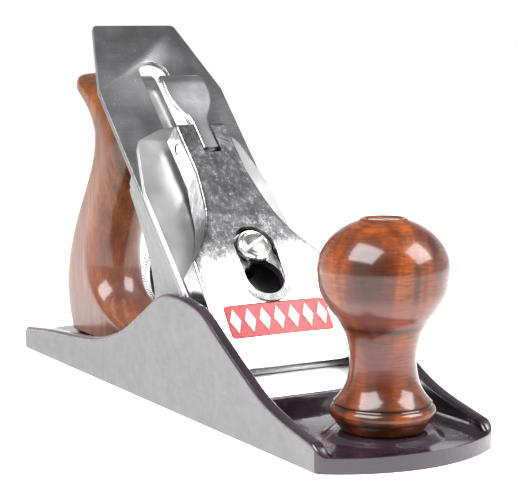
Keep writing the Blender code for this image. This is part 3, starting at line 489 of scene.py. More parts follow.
def wood_finish(name, pale, middle, dark, grain_turn, figure_scale, painted_sheen_bands, grain=(1300, 1300, 70), lines=()):
    """Varnished hardwood: broad dark figure, fine streaks along the grain, and a clear gloss coat. Dark lines sit at
    the heights in lines; the sheen bands, given as (height, reach, share), are painted reflection: a mauve cast in the
    base colour that stands in for the pale room mirrored in the varnish."""
    finish = Finish(name, middle, 0.0, 0.42, Coat_Weight=0.85, Coat_Roughness=0.14, Coat_IOR=1.5,
                    Specular_IOR_Level=0.15)
    along = finish.at((1, 1, 0.28), turn=grain_turn)
    figure = finish.noise(figure_scale, 4, 0.55, 1.6, vector=along)
    bands = finish.wave(38, 7.0, 3, 0.6, finish.at((1, 1, 0.22), turn=grain_turn), detail_scale=1.6)
    streaks = finish.noise(1, 6, 0.62, vector=finish.at(grain, turn=grain_turn))
    pores = finish.noise(1, 3, 0.5, vector=finish.at(tuple(2.5 * number for number in grain), turn=grain_turn))
    tone = finish.ramp(figure, (0.30, dark), (0.46, middle), (0.66, pale))
    tone = finish.mix(finish.span(bands, 0.25, 0.95, 0.0, 0.32), tone, dark)
    tone = finish.mix(finish.span(streaks, 0.40, 0.66, 0.0, 0.55), tone, dark)
    pore = tuple(c * 0.5 for c in dark)
    tone = finish.mix(finish.span(pores, 0.56, 0.70, 0.0, 0.5), tone, pore)
    z = finish.split(finish.place)["Z"]

    def off(height):
        return finish.math("ABSOLUTE", finish.math("SUBTRACT", z, height), 0)

    for height in lines:
        tone = finish.mix(finish.span(off(height), 0.0002, 0.0011, 0.7, 0.0), tone, pore)
    # Painted reflection: bands of a mauve cast at set heights, standing in for the pale room mirrored in the varnish
    for height, reach, share in painted_sheen_bands:
        tone = finish.mix(finish.span(off(height), 0.5 * reach, reach, share, 0.0), tone, linear(116, 72, 68))
    finish.wear(Base_Color=tone, Roughness=finish.span(streaks, 0.3, 0.7, 0.34, 0.5),
                Normal=finish.bump(streaks, 0.05, 0.0002))
    return finish


def speckled(name, first, second, metallic, roughness):
    """A plain colour flecked with a second one."""
    finish = Finish(name, first, metallic, roughness)
    flecks = finish.noise(900, 3, 0.6)
    finish.wear(Base_Color=finish.ramp(flecks, (0.42, first), (0.62, second)), Normal=finish.bump(flecks, 0.15, 0.0002))
    return finish


def clouded(name, first, second, roughness, scale):
    """A smooth metal that drifts slowly between two tones."""
    finish = Finish(name, first, 1.0, roughness)
    drift = finish.noise(scale, 3, 0.5)
    finish.wear(Base_Color=finish.ramp(drift, (0.35, first), (0.65, second)),
                Roughness=finish.span(drift, 0.3, 0.7, roughness * 0.85, roughness * 1.15))
    return finish


def lever_cap_finish():
    """Plated casting: near white below the keyhole. Above it the colour is painted reflection, clouded dark with pale
    specks, standing in for the dark room that the plating mirrors there.
    """
    finish = Finish("lever_cap_plate", linear(225, 225, 225), 1.0, 0.2)
    up_bed = finish.split(finish.at((1, 1, 1), turn=(0, BED_ANGLE, 0)))["Z"]
    cloud = finish.noise(90, 6, 0.62, 0.6)
    fine = finish.noise(620, 6, 0.7, 0.2, vector=finish.at((1, 1, 0.6), turn=(0.3, BED_ANGLE, 0.2)))
    # Turned through the bed's slope, local z is u less a constant
    height = finish.math("ADD", up_bed, finish.span(cloud, 0.3, 0.7, -0.010, 0.010))
    base = -EDGE_X * math.sin(BED_ANGLE)
    # Painted reflection: the dark, mottled colour takes over as u rises up the bed
    dark = finish.span(height, base + 0.046, base + 0.070)
    reflection_mottle = finish.ramp(fine, (0.34, linear(92, 92, 94)), (0.52, linear(138, 138, 140)), (0.66, linear(220, 220, 222)))
    reflection_smoke = finish.noise(38, 7, 0.68, 1.8)
    reflection_smoke = finish.ramp(reflection_smoke, (0.36, linear(62, 62, 64)), (0.50, linear(124, 124, 126)), (0.64, linear(206, 206, 208)))
    painted_dark_reflection = finish.mix(0.60, reflection_mottle, reflection_smoke)
    bright = finish.ramp(fine, (0.35, linear(182, 182, 182)), (0.65, linear(206, 206, 206)))
    tone = finish.mix(dark, bright, painted_dark_reflection)
    finish.wear(Base_Color=tone, Roughness=finish.span(fine, 0.3, 0.7, 0.14, 0.3),
                Normal=finish.bump(fine, 0.10, 0.0004))
    return finish


PAINT = japanned().material
STEEL = blade_steel().material
NICKEL = bright_nickel().material
FROG = frog_grey().material
DARK = dark_steel().material
JAPAN = casting_finish().material
# The sheen bands given to the knob and the handle are painted reflection
WOOD_KNOB = wood_finish("knob_wood", linear(146, 68, 12), linear(80, 30, 8), linear(30, 9, 3), (0.12, 0.08, 0.0), 34,
                        grain=(170, 170, 1500), lines=(0.0385, 0.0150, 0.0100),
                        painted_sheen_bands=((0.0440, 0.0052, 0.5), (0.0290, 0.0070, 0.22))).material
WOOD_TOTE = wood_finish("tote_wood", linear(150, 84, 30), linear(92, 48, 24), linear(38, 16, 9), (0.0, 0.45, 0.0), 26,
                        painted_sheen_bands=((0.030, 0.040, 0.3),)).material
NICKEL_PLATE = clouded("cap_iron_plate", linear(196, 196, 196), linear(222, 222, 222), 0.32, 45).material
CHROME_CAP = lever_cap_finish().material
CHROME_LEVER = clouded("lever_plate", linear(158, 158, 160), linear(196, 196, 198), 0.2, 60).material
ENAMEL = speckled("red_enamel", linear(146, 24, 32), linear(176, 46, 54), 0.0, 0.4).material
BADGE_WHITE = speckled("badge_white", linear(196, 190, 184), linear(226, 222, 216), 0.35, 0.3).material
SMALL_FINISH = {"bright_nickel": NICKEL, "dark_steel": DARK}


# ---------------------------------------------------------------- the casting

DECK = 0.005
CHEEK_THICK = 0.004
END_RADIUS = 0.0514
CORNER_RADIUS = 0.004
KNOB_X = 0.0986
RIB_X = (0.0640, 0.0680)


def sole_plan():
    """Stations along the casting and its half width at each: a wide arc at each end, a corner arc, straight cheeks."""
    centre = HALF_LENGTH - END_RADIUS
    run = math.sqrt((END_RADIUS - CORNER_RADIUS) ** 2 - (HALF_WIDTH - CORNER_RADIUS) ** 2)
    turn = math.atan2(HALF_WIDTH - CORNER_RADIUS, run)
    sweep = np.linspace(0, turn, 44)
    corner = np.linspace(turn, math.pi / 2, 8)[1:]
    end_x = np.concatenate([centre + END_RADIUS * np.cos(sweep), centre + run + CORNER_RADIUS * np.cos(corner)])
    end_w = np.concatenate([END_RADIUS * np.sin(sweep),
                            HALF_WIDTH - CORNER_RADIUS + CORNER_RADIUS * np.sin(corner)])
    straight = np.linspace(centre + run, -centre - run, 260)[1:-1]
    rib = np.array([-1.0, -0.6, -0.3, -0.1, 0, 0.15, 0.4, 0.8]) / 1000
    seat = np.array([-0.8, -0.4, 0, 0.4]) / 1000
    more = np.concatenate([RIB_X[0] + rib, RIB_X[1] - rib, -0.008 + seat, 0.040 - seat])
    straight = np.unique(np.concatenate([straight, more]))[::-1]
    x = np.concatenate([end_x, straight, -end_x[::-1]])
    w = np.concatenate([end_w, np.full(len(straight), HALF_WIDTH), end_w[::-1]])
    return x, w


def crest(x):
    """Height of the cheeks: low at heel and toe, humped beside the mouth, and eased down to the deck at both ends."""
    end = HALF_LENGTH - 0.0126
    line = through([
        (-end, 0.0085), (-0.085, 0.0112), (-0.056, 0.0134), (-0.038, 0.0159), (-0.020, 0.0213),
        (-0.004, 0.0298), (0.008, 0.0366), (0.015, CHEEK_PEAK - 0.0005), (0.023, CHEEK_PEAK),
        (0.031, CHEEK_PEAK - 0.0006), (0.041, 0.0366), (0.054, 0.0294), (0.067, 0.0222),
        (0.079, 0.0162), (0.091, 0.0124), (end, 0.0085),
    ], 400)
    height = np.interp(x, line[:, 0], line[:, 1])
    fade = ease(end - 0.001, end + 0.0046, np.abs(x))
    return height + (DECK - height) * fade


def floor_height(x, y):
    """Height of the deck: the highest at each place of the level floor, the knob's flared boss, the front rib, the
    handle's pad, the frog's seat and the boss that the setting screw threads into."""
    knob = np.hypot(x - KNOB_X, y)
    boss = 0.0019 * (1 - ease(0.0152, 0.0190, knob))
    rib = 0.0070 * np.minimum(ease(RIB_X[0] - 0.0009, RIB_X[0] + 0.0004, x),
                              1 - ease(RIB_X[1] - 0.0004, RIB_X[1] + 0.0009, x))
    along = np.clip(x, -0.110, -0.048)
    pad = 0.0011 * (1 - ease(0.0082, 0.0094, np.hypot(x - along, y)))
    seat = 0.0047 * np.minimum(ease(-0.0066, -0.0058, x), 1 - ease(0.0396, 0.0404, x))
    seat = seat * (1 - ease(0.0210, 0.0218, np.abs(y)))
    thread = 0.0105 * (1 - ease(0.0055, 0.0062, np.abs(x))) * (1 - ease(0.0046, 0.0053, np.abs(y)))
    return DECK + np.maximum.reduce([boss, rib, pad, seat, thread])


def casting():
    """Cross-sections carried along the plane: sole, ground cheek, round crest, inner wall, fillet and deck. Each row
    is one place in the section, as an array along the plane, and mark says how far it is ground bare."""
    x, w = sole_plan()
    x, w = x[:, None], w[:, None]
    inner = np.minimum(HALF_WIDTH - CHEEK_THICK, np.maximum(w - 0.0009, 0.9 * w))
    thick = w - inner
    low = floor_height(x, inner)
    top = np.maximum(crest(x), low)
    tall = top - low
    sole_edge = np.minimum(0.0004, 0.3 * w)
    outer_round = np.minimum(0.0009, 0.45 * thick)
    inner_round = np.minimum(0.0012, 0.45 * thick)
    fillet = np.minimum(0.0026, 0.6 * tall + 1e-5)
    quarter = np.linspace(0, math.pi / 2, 5)
    rows_y = [w * t for t in np.linspace(0, 1, 5)[:-1]]
    rows_z = [0 * w] * 4
    ground = [1.0] * 4
    rows_y += [w - sole_edge + sole_edge * math.sin(a) for a in quarter]
    rows_z += [sole_edge - sole_edge * math.cos(a) for a in quarter]
    ground += [1.0] * 5
    shoulder = top - outer_round
    paint_line = 0.0022
    for share in (0.35, 0.7):
        rows_y.append(w + 0 * x)
        rows_z.append(sole_edge + (shoulder - paint_line - sole_edge) * share)
        ground.append(1.0)
    for depth, mark in ((paint_line, 1.0), (0.0012, 0.75), (0.0005, 0.5), (0.0, 0.25)):
        rows_y.append(w + 0 * x)
        rows_z.append(np.maximum(shoulder - depth, sole_edge))
        ground.append(mark)
    for a in quarter[1:]:
        rows_y.append(w - outer_round + outer_round * math.cos(a))
        rows_z.append(shoulder + outer_round * math.sin(a))
        ground.append(0.0)
    for a in quarter:
        rows_y.append(inner + inner_round - inner_round * math.sin(a))
        rows_z.append(top - inner_round + inner_round * math.cos(a))
        ground.append(0.0)
    for a in quarter:
        rows_y.append(inner - fillet + fillet * math.cos(a))
        rows_z.append(low + np.minimum(fillet - fillet * math.sin(a), tall))
        ground.append(0.0)
    inner_half = HALF_WIDTH - CHEEK_THICK
    close_rows = np.array([0.0222, 0.0218, 0.0214, 0.0210, 0.0206, 0.0054, 0.0050]) / inner_half
    for t in np.unique(np.concatenate([np.linspace(0, 0.9, 44), close_rows]))[::-1]:
        y = np.minimum(inner * t, inner - fillet)
        rows_y.append(y)
        rows_z.append(floor_height(x, y))
        ground.append(0.0)
    y = np.concatenate(rows_y, axis=1)
    z = np.concatenate(rows_z, axis=1)
    count = y.shape[1]
    y = np.concatenate([y, -y[:, -2:0:-1]], axis=1)
    z = np.concatenate([z, z[:, -2:0:-1]], axis=1)
    mark = np.concatenate([ground, ground[count - 2:0:-1]])
    grid = np.stack([x + 0 * y, y, z], axis=-1)
    ring = grid.shape[1]
    piece = new_piece("plane_casting", grid.reshape(-1, 3), band_faces(len(x), ring), JAPAN)
    layer = piece.data.attributes.new("ground", "FLOAT", "POINT")
    flat_side = (w > HALF_WIDTH - 0.00005) | (np.arange(ring)[None, :] < 4)
    layer.data.foreach_set("value", (mark[None, :] * flat_side).astype(np.float32).reshape(-1))
    tidy(piece, 40, merge=2e-6)
    mouth = np.array([(EDGE_X + 0.003, -0.001), (EDGE_X + 0.003, 0.0111), (EDGE_X - 0.0153, 0.0111),
                      (EDGE_X - 0.0044, -0.001)])
    mouth_half = 0.0265
    side = Matrix.Rotation(math.pi / 2, 4, "X")
    setting_bore = Matrix.Translation((0, 0, 0.0116)) @ ALONG_X
    cut(piece, prism(mouth, -mouth_half, mouth_half, side), rod(0.0027, -0.009, 0.0075, setting_bore))
    stand_for(piece, "plane_body")


# ---------------------------------------------------------------- wood

def knob():
    """A flattened ball on a waisted stem with a beaded foot, turned about the knob's bolt, with a bore and a recess
    for the nut: arcs for ball and bead, a smooth curve for the stem."""
    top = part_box("knob")[1].z
    ball_z = top - 0.0155
    ball, ball_rise = 0.0199, 0.01597
    crown_start = 22
    lean = np.radians(np.linspace(crown_start, 90, 18))
    crown = np.column_stack([ball * np.sin(lean), ball_z + ball_rise * np.cos(lean)])
    stem = through([
        (ball, ball_z), (0.0191, 0.0489), (0.0167, 0.0440), (0.0138, 0.0401), (0.0112, 0.0352),
        (0.0100, 0.0290), (0.0107, 0.0225), (0.0122, 0.0188), (0.0141, 0.0163), (0.0149, 0.0155)], 56)[1:]
    groove = [(0.0147, 0.0152), (0.0146, 0.0149), (0.0148, 0.0146)]
    lean = np.radians(np.linspace(66, -62, 12))
    bead = np.column_stack([0.0142 + 0.0019 * np.cos(lean), 0.0126 + 0.0022 * np.sin(lean)])
    foot = [(0.0147, 0.0101), (0.0142, 0.0092), (0.0135, 0.0083), (0.0128, 0.0073)]
    recess, bore = 0.0055, 0.0028
    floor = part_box("knob_nut")[0].z - 0.0002
    inside = [(bore, 0.0073), (bore, floor), (recess, floor), (recess, top - 0.0006),
              (recess + 0.0004, top - 0.0002)]
    lip = np.column_stack([np.linspace(recess + 0.0008, ball * math.sin(math.radians(crown_start)) - 0.0003, 3),
                           [top, top, top - 0.0003]])
    profile = np.vstack([lip, crown, stem, groove, bead, foot, inside])
    piece = ring_turned("knob_wood", profile, WOOD_KNOB, Matrix.Translation((KNOB_X, 0, 0)))
    stand_for(piece, "knob")


HEEL_SIDE = [
    (-0.1092, 0.1072), (-0.1056, 0.1028), (-0.0998, 0.0978), (-0.0938, 0.0914), (-0.0912, 0.0835),
    (-0.0936, 0.0742), (-0.1008, 0.0640), (-0.1090, 0.0540), (-0.1156, 0.0440), (-0.1196, 0.0338),
    (-0.1208, 0.0232), (-0.1194, 0.0134), (-0.1166, 0.0072), (-0.1160, 0.0065),
]
TOE_SIDE = [
    (-0.1092, 0.1078), (-0.1062, 0.1088), (-0.1004, 0.1080), (-0.0902, 0.1048), (-0.0792, 0.1003),
    (-0.0703, 0.0948), (-0.0653, 0.0880), (-0.0652, 0.0802), (-0.0692, 0.0702), (-0.0747, 0.0602),
    (-0.0802, 0.0502), (-0.0837, 0.0402), (-0.0837, 0.0302), (-0.0792, 0.0222), (-0.0702, 0.0167),
    (-0.0602, 0.0141), (-0.0502, 0.0120), (-0.0468, 0.0092), (-0.0477, 0.0065),
]


BOLT_TOP = Vector((-0.079, 0.0, 0.099))
BOLT_FOOT = Vector((-0.107, 0.0, 0.003))


def bolt_place():
    """The frame whose local Z runs up the handle's leaning bolt from its foot."""
    rise = (BOLT_TOP - BOLT_FOOT).normalized()
    return Matrix.Translation(BOLT_FOOT) @ rise.to_track_quat("Z", "Y").to_matrix().to_4x4()


def tote():
    """Sections carried from the horn down to the foot. Each runs from the heel side to the toe side of the outline
    and has flat cheeks joined by a half ellipse at each end."""
    stations = 150
    heel = through(HEEL_SIDE, stations)
    toe = through(TOE_SIDE, stations)
    share = np.linspace(0, 1, stations)[:, None]
    half_thick, horn_tip = 0.0118, 0.0006
    thick = half_thick * np.sqrt(1 - (1 - np.clip(share / 0.10, 0, 1)) ** 2) ** 0.9
    thick = np.maximum(thick, horn_tip)
    middle = (heel + toe) / 2
    reach = (toe - heel) / 2
    half = np.linalg.norm(reach, axis=1)[:, None]
    round_toe = np.minimum(0.0125, 0.80 * half)
    round_heel = np.minimum(0.0100, 0.80 * half)
    quarter = np.linspace(0, math.pi / 2, 14)
    side = np.linspace(0, 1, 6)[1:-1]
    t_toe = half - round_toe + round_toe * np.cos(quarter)
    t_side = (half - round_toe) + (round_heel - half - (half - round_toe)) * side
    t_heel = -(half - round_heel + round_heel * np.cos(quarter[::-1]))
    along = np.concatenate([t_toe, t_side, t_heel], axis=1)
    off = np.concatenate([np.sin(quarter), np.ones(len(side)), np.sin(quarter[::-1])])
    t = np.concatenate([along, along[:, -2:0:-1]], axis=1) / half
    y = np.concatenate([off, -off[-2:0:-1]])
    grid = np.stack([middle[:, :1] + reach[:, :1] * t, thick * y, middle[:, 1:] + reach[:, 1:] * t], axis=-1)
    piece = skin("tote_wood", grid, WOOD_TOTE, angle=50)
    nut_recess = 0.0055
    length = (BOLT_TOP - BOLT_FOOT).length
    cut(piece, rod(nut_recess, length - 0.0005, length + 0.03, bolt_place()))
    stand_for(piece, "tote")


# ---------------------------------------------------------------- cutter, cap iron and lateral lever

def plate_grid(u, half, low, high, radius):
    """Cross-sections of a flat bar, one at each u, as bed points."""
    loops = rounded_loop(half, low, high, radius)
    return bed_points(loops[..., 0], np.broadcast_to(np.asarray(u)[:, None], loops.shape[:2]), loops[..., 1])


def cap_iron():
    """A plate carried up the bed: flat, then humped and brought down to a fine edge, with its top corners cut off."""
    top = through([(0.0022, 0.0006), (0.0050, 0.0022), (0.0100, 0.0038), (0.0150, 0.0043), (0.0210, 0.0039),
                   (0.0280, 0.0031), (0.0340, 0.0023), (0.0400, 0.0023)], 60)
    under = through([(0.0022, 0.0003), (0.0055, 0.0007), (0.0100, 0.0019), (0.0150, 0.0024), (0.0210, 0.0020),
                     (0.0270, 0.0011), (0.0340, 0.0003), (0.0400, 0.0003)], 60)
    u = np.concatenate([top[:, 0], np.linspace(0.042, 0.097, 24), np.linspace(0.0985, 0.1175, 14),
                        0.1185 + 0.0030 * np.sin(np.linspace(0.2, 1.3, 6)), np.linspace(0.1222, 0.1266, 5)])
    high = np.interp(u, top[:, 0], top[:, 1])
    low = np.interp(u, under[:, 0], under[:, 1])
    half = np.interp(u, [0, 0.097, 0.1175, 0.1185, 0.1205, 0.1212, 0.1255, 0.1266],
                     [0.025, 0.025, 0.0205, 0.0200, 0.0190, 0.0178, 0.0090, 0.0010])
    edge = np.minimum(0.0003, (high - low) * 0.3)
    piece = skin("cap_iron_plate", plate_grid(u, half, low, high, edge), NICKEL_PLATE)
    slot = np.concatenate([arc_points(0, 0.0602, 0.0036, 180, 360), arc_points(0, 0.0629, 0.0036, 0, 180)])
    cut(piece, prism(slot, -0.01, 0.01, BED), block((-0.0032, 0.0686, -0.01), (0.0032, 0.0734, 0.01), BED),
        rod(0.0035, -0.01, 0.01, bed_spot(0.091)))
    stand_for(piece, "cap_iron")


def path_frame(path):
    """Unit normals of a path of (u, h), turned a quarter from its direction."""
    along = np.gradient(path, axis=0)
    along /= np.linalg.norm(along, axis=1, keepdims=True)
    return np.column_stack([-along[:, 1], along[:, 0]])


def strap_grid(path, half, thick, radius):
    """A flat strip carried along a path of (u, h) with the given half widths and thickness."""
    normal = path_frame(path)
    level = 0 * path[:, 0]
    loops = rounded_loop(half, level - thick / 2, level + thick / 2, radius)
    u = path[:, 0, None] + normal[:, 0, None] * loops[..., 1]
    h = path[:, 1, None] + normal[:, 1, None] * loops[..., 1]
    return bed_points(loops[..., 0], u, h)


def lateral_lever():
    """A steel strip behind the cutter whose end turns back into a rounded thumb tab."""
    level, thick, tab_end = -0.00465, 0.00145, 0.0041
    path = through([(0.0999, level), (0.108, level), (0.119, level), (0.1265, level - 0.0010), (0.134, level - 0.0021),
                    (0.146, level - 0.0026), (0.156, level - 0.0029), (0.1600, level - 0.0037),
                    (0.1627, level - 0.0058), (0.1640, level - 0.0086)], 90)
    run = np.concatenate([[0], np.cumsum(np.linalg.norm(np.diff(path, axis=0), axis=1))])
    left = run[-1] - run
    half = np.interp(path[:, 0], [0.0998, 0.1012, 0.1042, 0.119, 0.140], [0.0016, 0.0032, 0.0043, 0.0048, 0.0041])
    end_round = np.sqrt(np.maximum(tab_end ** 2 - (tab_end - np.minimum(left, tab_end)) ** 2, 4e-7))
    piece = skin("lateral_strip", strap_grid(path, np.minimum(half, end_round), thick, 0.00025), NICKEL)
    cut(piece, rod(0.0021, -0.02, 0.01, bed_spot(0.113)), rod(0.0017, -0.02, 0.01, bed_spot(0.1042)))
    stand_for(piece, "lateral_lever")


# ---------------------------------------------------------------- lever cap and its lever

CAP_LOW = 0.017
CAP_HIGH = 0.117
CAP_WALL = 0.0027
CAP_WIDE = 0.0245
CAP_EDGE = 0.0011
CAP_CROWN = 0.0004
CAM_PIN_BORE = 0.0019
SPRING_RIVET_U = 0.0905
KEYHOLE_U = 0.0503
CAP_SCREW_U = 0.062
KEYHOLE_FLOOR = 0.0117
DISH = 0.0072
CAM_U = 0.110
CAM_H = 0.009


def cap_half(u):
    """Half width of the lever cap: full below, a hollow flare, then a narrow head."""
    flare = through([(CAP_WIDE, 0.058), (0.019, 0.065), (0.015, 0.072), (0.0122, 0.081), (0.010, 0.095)], 60)
    lower = np.minimum(CAP_WIDE, CAP_WIDE - 0.0006 + (u - CAP_LOW) * 0.3)
    return np.where(u < 0.058, lower, np.interp(u, flare[:, 1], flare[:, 0]))


def cap_height(u):
    """Front face of the lever cap: a lip, a swelling body and a level head."""
    line = through([(0.016, 0.0076), (0.024, 0.0086), (0.036, 0.0103), (0.048, 0.0124), (0.060, 0.0139),
                    (0.070, 0.01435), (0.080, 0.0145), (0.118, 0.0145)], 120)
    return np.interp(u, line[:, 0], line[:, 1])


def cam_place():
    """The frame whose local Z runs across the plane along the cam's pin."""
    return Matrix.Translation(BED @ Vector((0, CAM_U, CAM_H))) @ ALONG_Y


def lever_cap():
    """Cross-sections carried up the bed: outer wall, round edge, crowned front, and the hollow behind it."""
    u = np.concatenate([CAP_LOW + np.array([0, 0.05, 0.2, 0.45, 0.8, 1.3]) / 1000, np.linspace(0.019, 0.058, 50),
                        np.linspace(0.0586, 0.096, 70), np.linspace(0.0967, 0.1157, 24), [0.1163, 0.1168, 0.117]])
    half = cap_half(u)
    high = cap_height(u)
    nose = np.minimum((u - CAP_LOW) / 0.0009, 1)
    tail = np.minimum((CAP_HIGH - u) / 0.0009, 1)
    round_off = 0.0009 * (1 - np.sqrt(1 - (1 - np.minimum(nose, tail)) ** 2))
    high = high - round_off
    low = np.interp(u, [0.017, 0.030, 0.038, 0.085, 0.096, 0.117], [0.0046, 0.0046, 0.0031, 0.0031, 0.0048, 0.0048])
    crown = CAP_CROWN * (half / CAP_WIDE) ** 2
    turn = np.linspace(0, math.pi / 2, 7)
    rows_a, rows_h = [half - 0.0002, half], [low, low + 0.0002]
    for share in (0.5, 1.0):
        rows_a.append(half)
        rows_h.append(low + 0.0002 + (high - crown - CAP_EDGE - low - 0.0002) * share)
    for angle in turn[1:]:
        rows_a.append(half - CAP_EDGE + CAP_EDGE * math.cos(angle))
        rows_h.append(high - crown - CAP_EDGE + CAP_EDGE * math.sin(angle))
    for share in np.linspace(1, 0, 14)[1:]:
        rows_a.append((half - CAP_EDGE) * share)
        rows_h.append(high - crown * share ** 2)
    a, h = np.stack(rows_a, axis=1), np.stack(rows_h, axis=1)
    a = np.concatenate([a, -a[:, -2::-1]], axis=1)
    h = np.concatenate([h, h[:, -2::-1]], axis=1)
    piece = skin("lever_cap_casting", bed_points(a, u[:, None], h), CHROME_CAP)
    inner_u = np.concatenate([np.linspace(CAP_LOW + 0.0135, 0.058, 20), np.linspace(0.0586, 0.096, 30),
                              np.linspace(0.0967, CAP_HIGH - CAP_WALL, 10)])
    hollow = plate_grid(inner_u, cap_half(inner_u) - CAP_WALL, -0.005 + 0 * inner_u, cap_height(inner_u) - CAP_WALL,
                        0.0008)
    cut(piece, skin("hollow", hollow, CHROME_CAP))
    boss = np.concatenate([arc_points(0, KEYHOLE_U, 0.0100, 180, 360), arc_points(0, CAP_SCREW_U, 0.0100, 0, 180)])
    add(piece, prism(boss, KEYHOLE_FLOOR - 0.0026, KEYHOLE_FLOOR + 0.0003, BED),
        rod(0.0031, 0.0045, 0.0130, bed_spot(SPRING_RIVET_U)))
    wide, narrow = 0.0070, 0.0037
    meet = math.degrees(math.acos(narrow / wide))
    keyhole = np.concatenate([arc_points(0, KEYHOLE_U, wide, 180 - meet, 360 + meet, 48),
                              arc_points(0, CAP_SCREW_U, narrow, 0, 180, 24)])
    cam = cam_place()
    slot = 0.0034
    cut(piece, dish(), prism(keyhole, -0.01, 0.03, BED),
        rod(0.0076, -slot, slot, cam),
        block((-slot, CAM_U - 0.0064, CAM_H), (slot, CAM_U, CAM_H + 0.02), BED),
        block((-slot, CAM_U, CAM_H - 0.0045), (slot, 0.13, 0.03), BED),
        rod(CAM_PIN_BORE, -0.02, 0.02, cam), rod(0.0015, 0, 0.0100, bed_spot(SPRING_RIVET_U)),
        badge_pocket())
    stand_for(piece, "lever_cap")


def dish():
    """The recess round the keyhole: a steep wall that follows the hull of two circles up the bed."""
    rise, spread = 0.0050, 0.0012
    loops = []
    for radius, h in ((DISH, KEYHOLE_FLOOR), (DISH + spread, KEYHOLE_FLOOR + rise)):
        hull = np.concatenate([arc_points(0, KEYHOLE_U, radius, 180, 360, 32),
                               arc_points(0, CAP_SCREW_U, radius, 0, 180, 32)])
        loops.append(np.column_stack([hull, np.full(len(hull), h)]))
    piece = skin("dish", np.stack(loops), CHROME_CAP)
    piece.data.transform(BED)
    return piece


BADGE_U = (0.0285, 0.0405)
BADGE_HALF = 0.0195
BADGE_DEEP = 0.00035


def badge_outline():
    """The panel's outline in a and u: a rectangle with quarter circles at its corners."""
    radius = 0.0016
    low, high, side = BADGE_U[0] + radius, BADGE_U[1] - radius, BADGE_HALF - radius
    corners = ((side, low, -90), (side, high, 0), (-side, high, 90), (-side, low, 180))
    return np.concatenate([arc_points(a, u, radius, start, start + 90, 8) for a, u, start in corners])


def draped(outline, below, above):
    """A closed slab over the lever cap's front: the outline at two depths, each following the crowned face."""
    a, u = outline[:, 0], outline[:, 1]
    crown = CAP_CROWN * (np.abs(a) / (CAP_WIDE - CAP_EDGE)) ** 2
    return np.stack([bed_points(a, u, cap_height(u) - crown + lift) for lift in (below, above)])


def badge_pocket():
    """The shallow recess that the panel lies in."""
    return skin("pocket", draped(badge_outline(), -BADGE_DEEP, 0.002), CHROME_CAP)


def badge():
    """A red enamel panel let into the lever cap with a thin gap round it, and a raised row of plain lozenges."""
    gap = 0.0003
    rows = np.linspace(BADGE_U[0] + gap, BADGE_U[1] - gap, 12)
    half = BADGE_HALF - gap
    loops_high = cap_height(rows) - 0.0001
    grid = plate_grid(rows, np.full(len(rows), half), loops_high - 0.0004, loops_high, 0.0001)
    panel = skin("badge_enamel", grid, ENAMEL)
    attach(panel, "lever_cap")
    middle = (BADGE_U[0] + BADGE_U[1]) / 2
    count, spread = 7, 0.0330
    half_wide, half_tall, top_share = 0.0021, 0.0044, 0.72
    for number in range(count):
        centre = (spread * (number / (count - 1) - 0.5), middle)
        shape = np.array([(0.0, -half_tall), (half_wide, 0.0), (0.0, half_tall), (-half_wide, 0.0)])
        loops = [shape + centre, shape + centre, shape * top_share + centre]
        stack = [bed_points(s[:, 0], s[:, 1], cap_height(s[:, 1]) - 0.0001 + lift)
                 for s, lift in zip(loops, (-0.0002, 0.0003, 0.0006))]
        lozenge = skin(f"badge_lozenge_{number + 1}", np.stack(stack), BADGE_WHITE, angle=20)
        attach(lozenge, "lever_cap")


def cam_lever():
    """A strap that widens to a fan with a turned-down end, carried along its own side view, and the cam under it."""
    path = through([(0.1056, 0.0138), (0.112, 0.0138), (0.119, 0.0139), (0.126, 0.0142), (0.132, 0.0146),
                    (0.1362, 0.0147), (0.1390, 0.0141), (0.1404, 0.0128), (0.1406, 0.0114)], 70)
    half = np.interp(path[:, 0], [0.105, 0.1175, 0.1205, 0.1240, 0.1275, 0.1315, 0.1355, 0.1385, 0.1406],
                     [0.0030, 0.0030, 0.0038, 0.0061, 0.0079, 0.0085, 0.0084, 0.0080, 0.0074])
    half = np.convolve(np.pad(half, 2, mode="edge"), np.ones(5) / 5, mode="valid")
    piece = skin("cam_strap", strap_grid(path, half, 0.0019, 0.0007), CHROME_LEVER)
    cam = cam_place()
    add(piece, rod(0.0043, -0.0030, 0.0030, cam), block((-0.0029, 0.1062, 0.0095), (0.0029, 0.1138, 0.0134), BED))
    cut(piece, rod(CAM_PIN_BORE, -0.02, 0.02, cam))
    stand_for(piece, "cam_lever")


def cap_screw():
    """A domed head with two turned rings, a slot and a plain shank."""
    dome = [(0.0001, 0.0158), (0.0012, 0.01577), (0.0024, 0.01565), (0.0033, 0.01545), (0.0040, 0.0152),
            (0.0043, 0.01495), (0.0046, 0.0151), (0.0050, 0.01495), (0.0054, 0.0146), (0.0056, 0.0143),
            (0.0059, 0.0144), (0.0062, 0.0140), (0.0064, 0.0134), (0.0064, 0.0124), (0.0061, 0.0121),
            (0.0028, 0.0121), (0.0028, -0.0155), (0.0001, -0.0155)]
    piece = turned("cap_screw_head", dome, NICKEL, bed_spot(CAP_SCREW_U), steps=64)
    slot_half, slot_floor = 0.0006, 0.0145
    cut(piece, block((-0.01, -slot_half, slot_floor), (0.01, slot_half, 0.02),
                     bed_spot(CAP_SCREW_U) @ Matrix.Rotation(0.5, 4, "Z")))
    stand_for(piece, "lever_cap_screw")


# ---------------------------------------------------------------- depth wheel

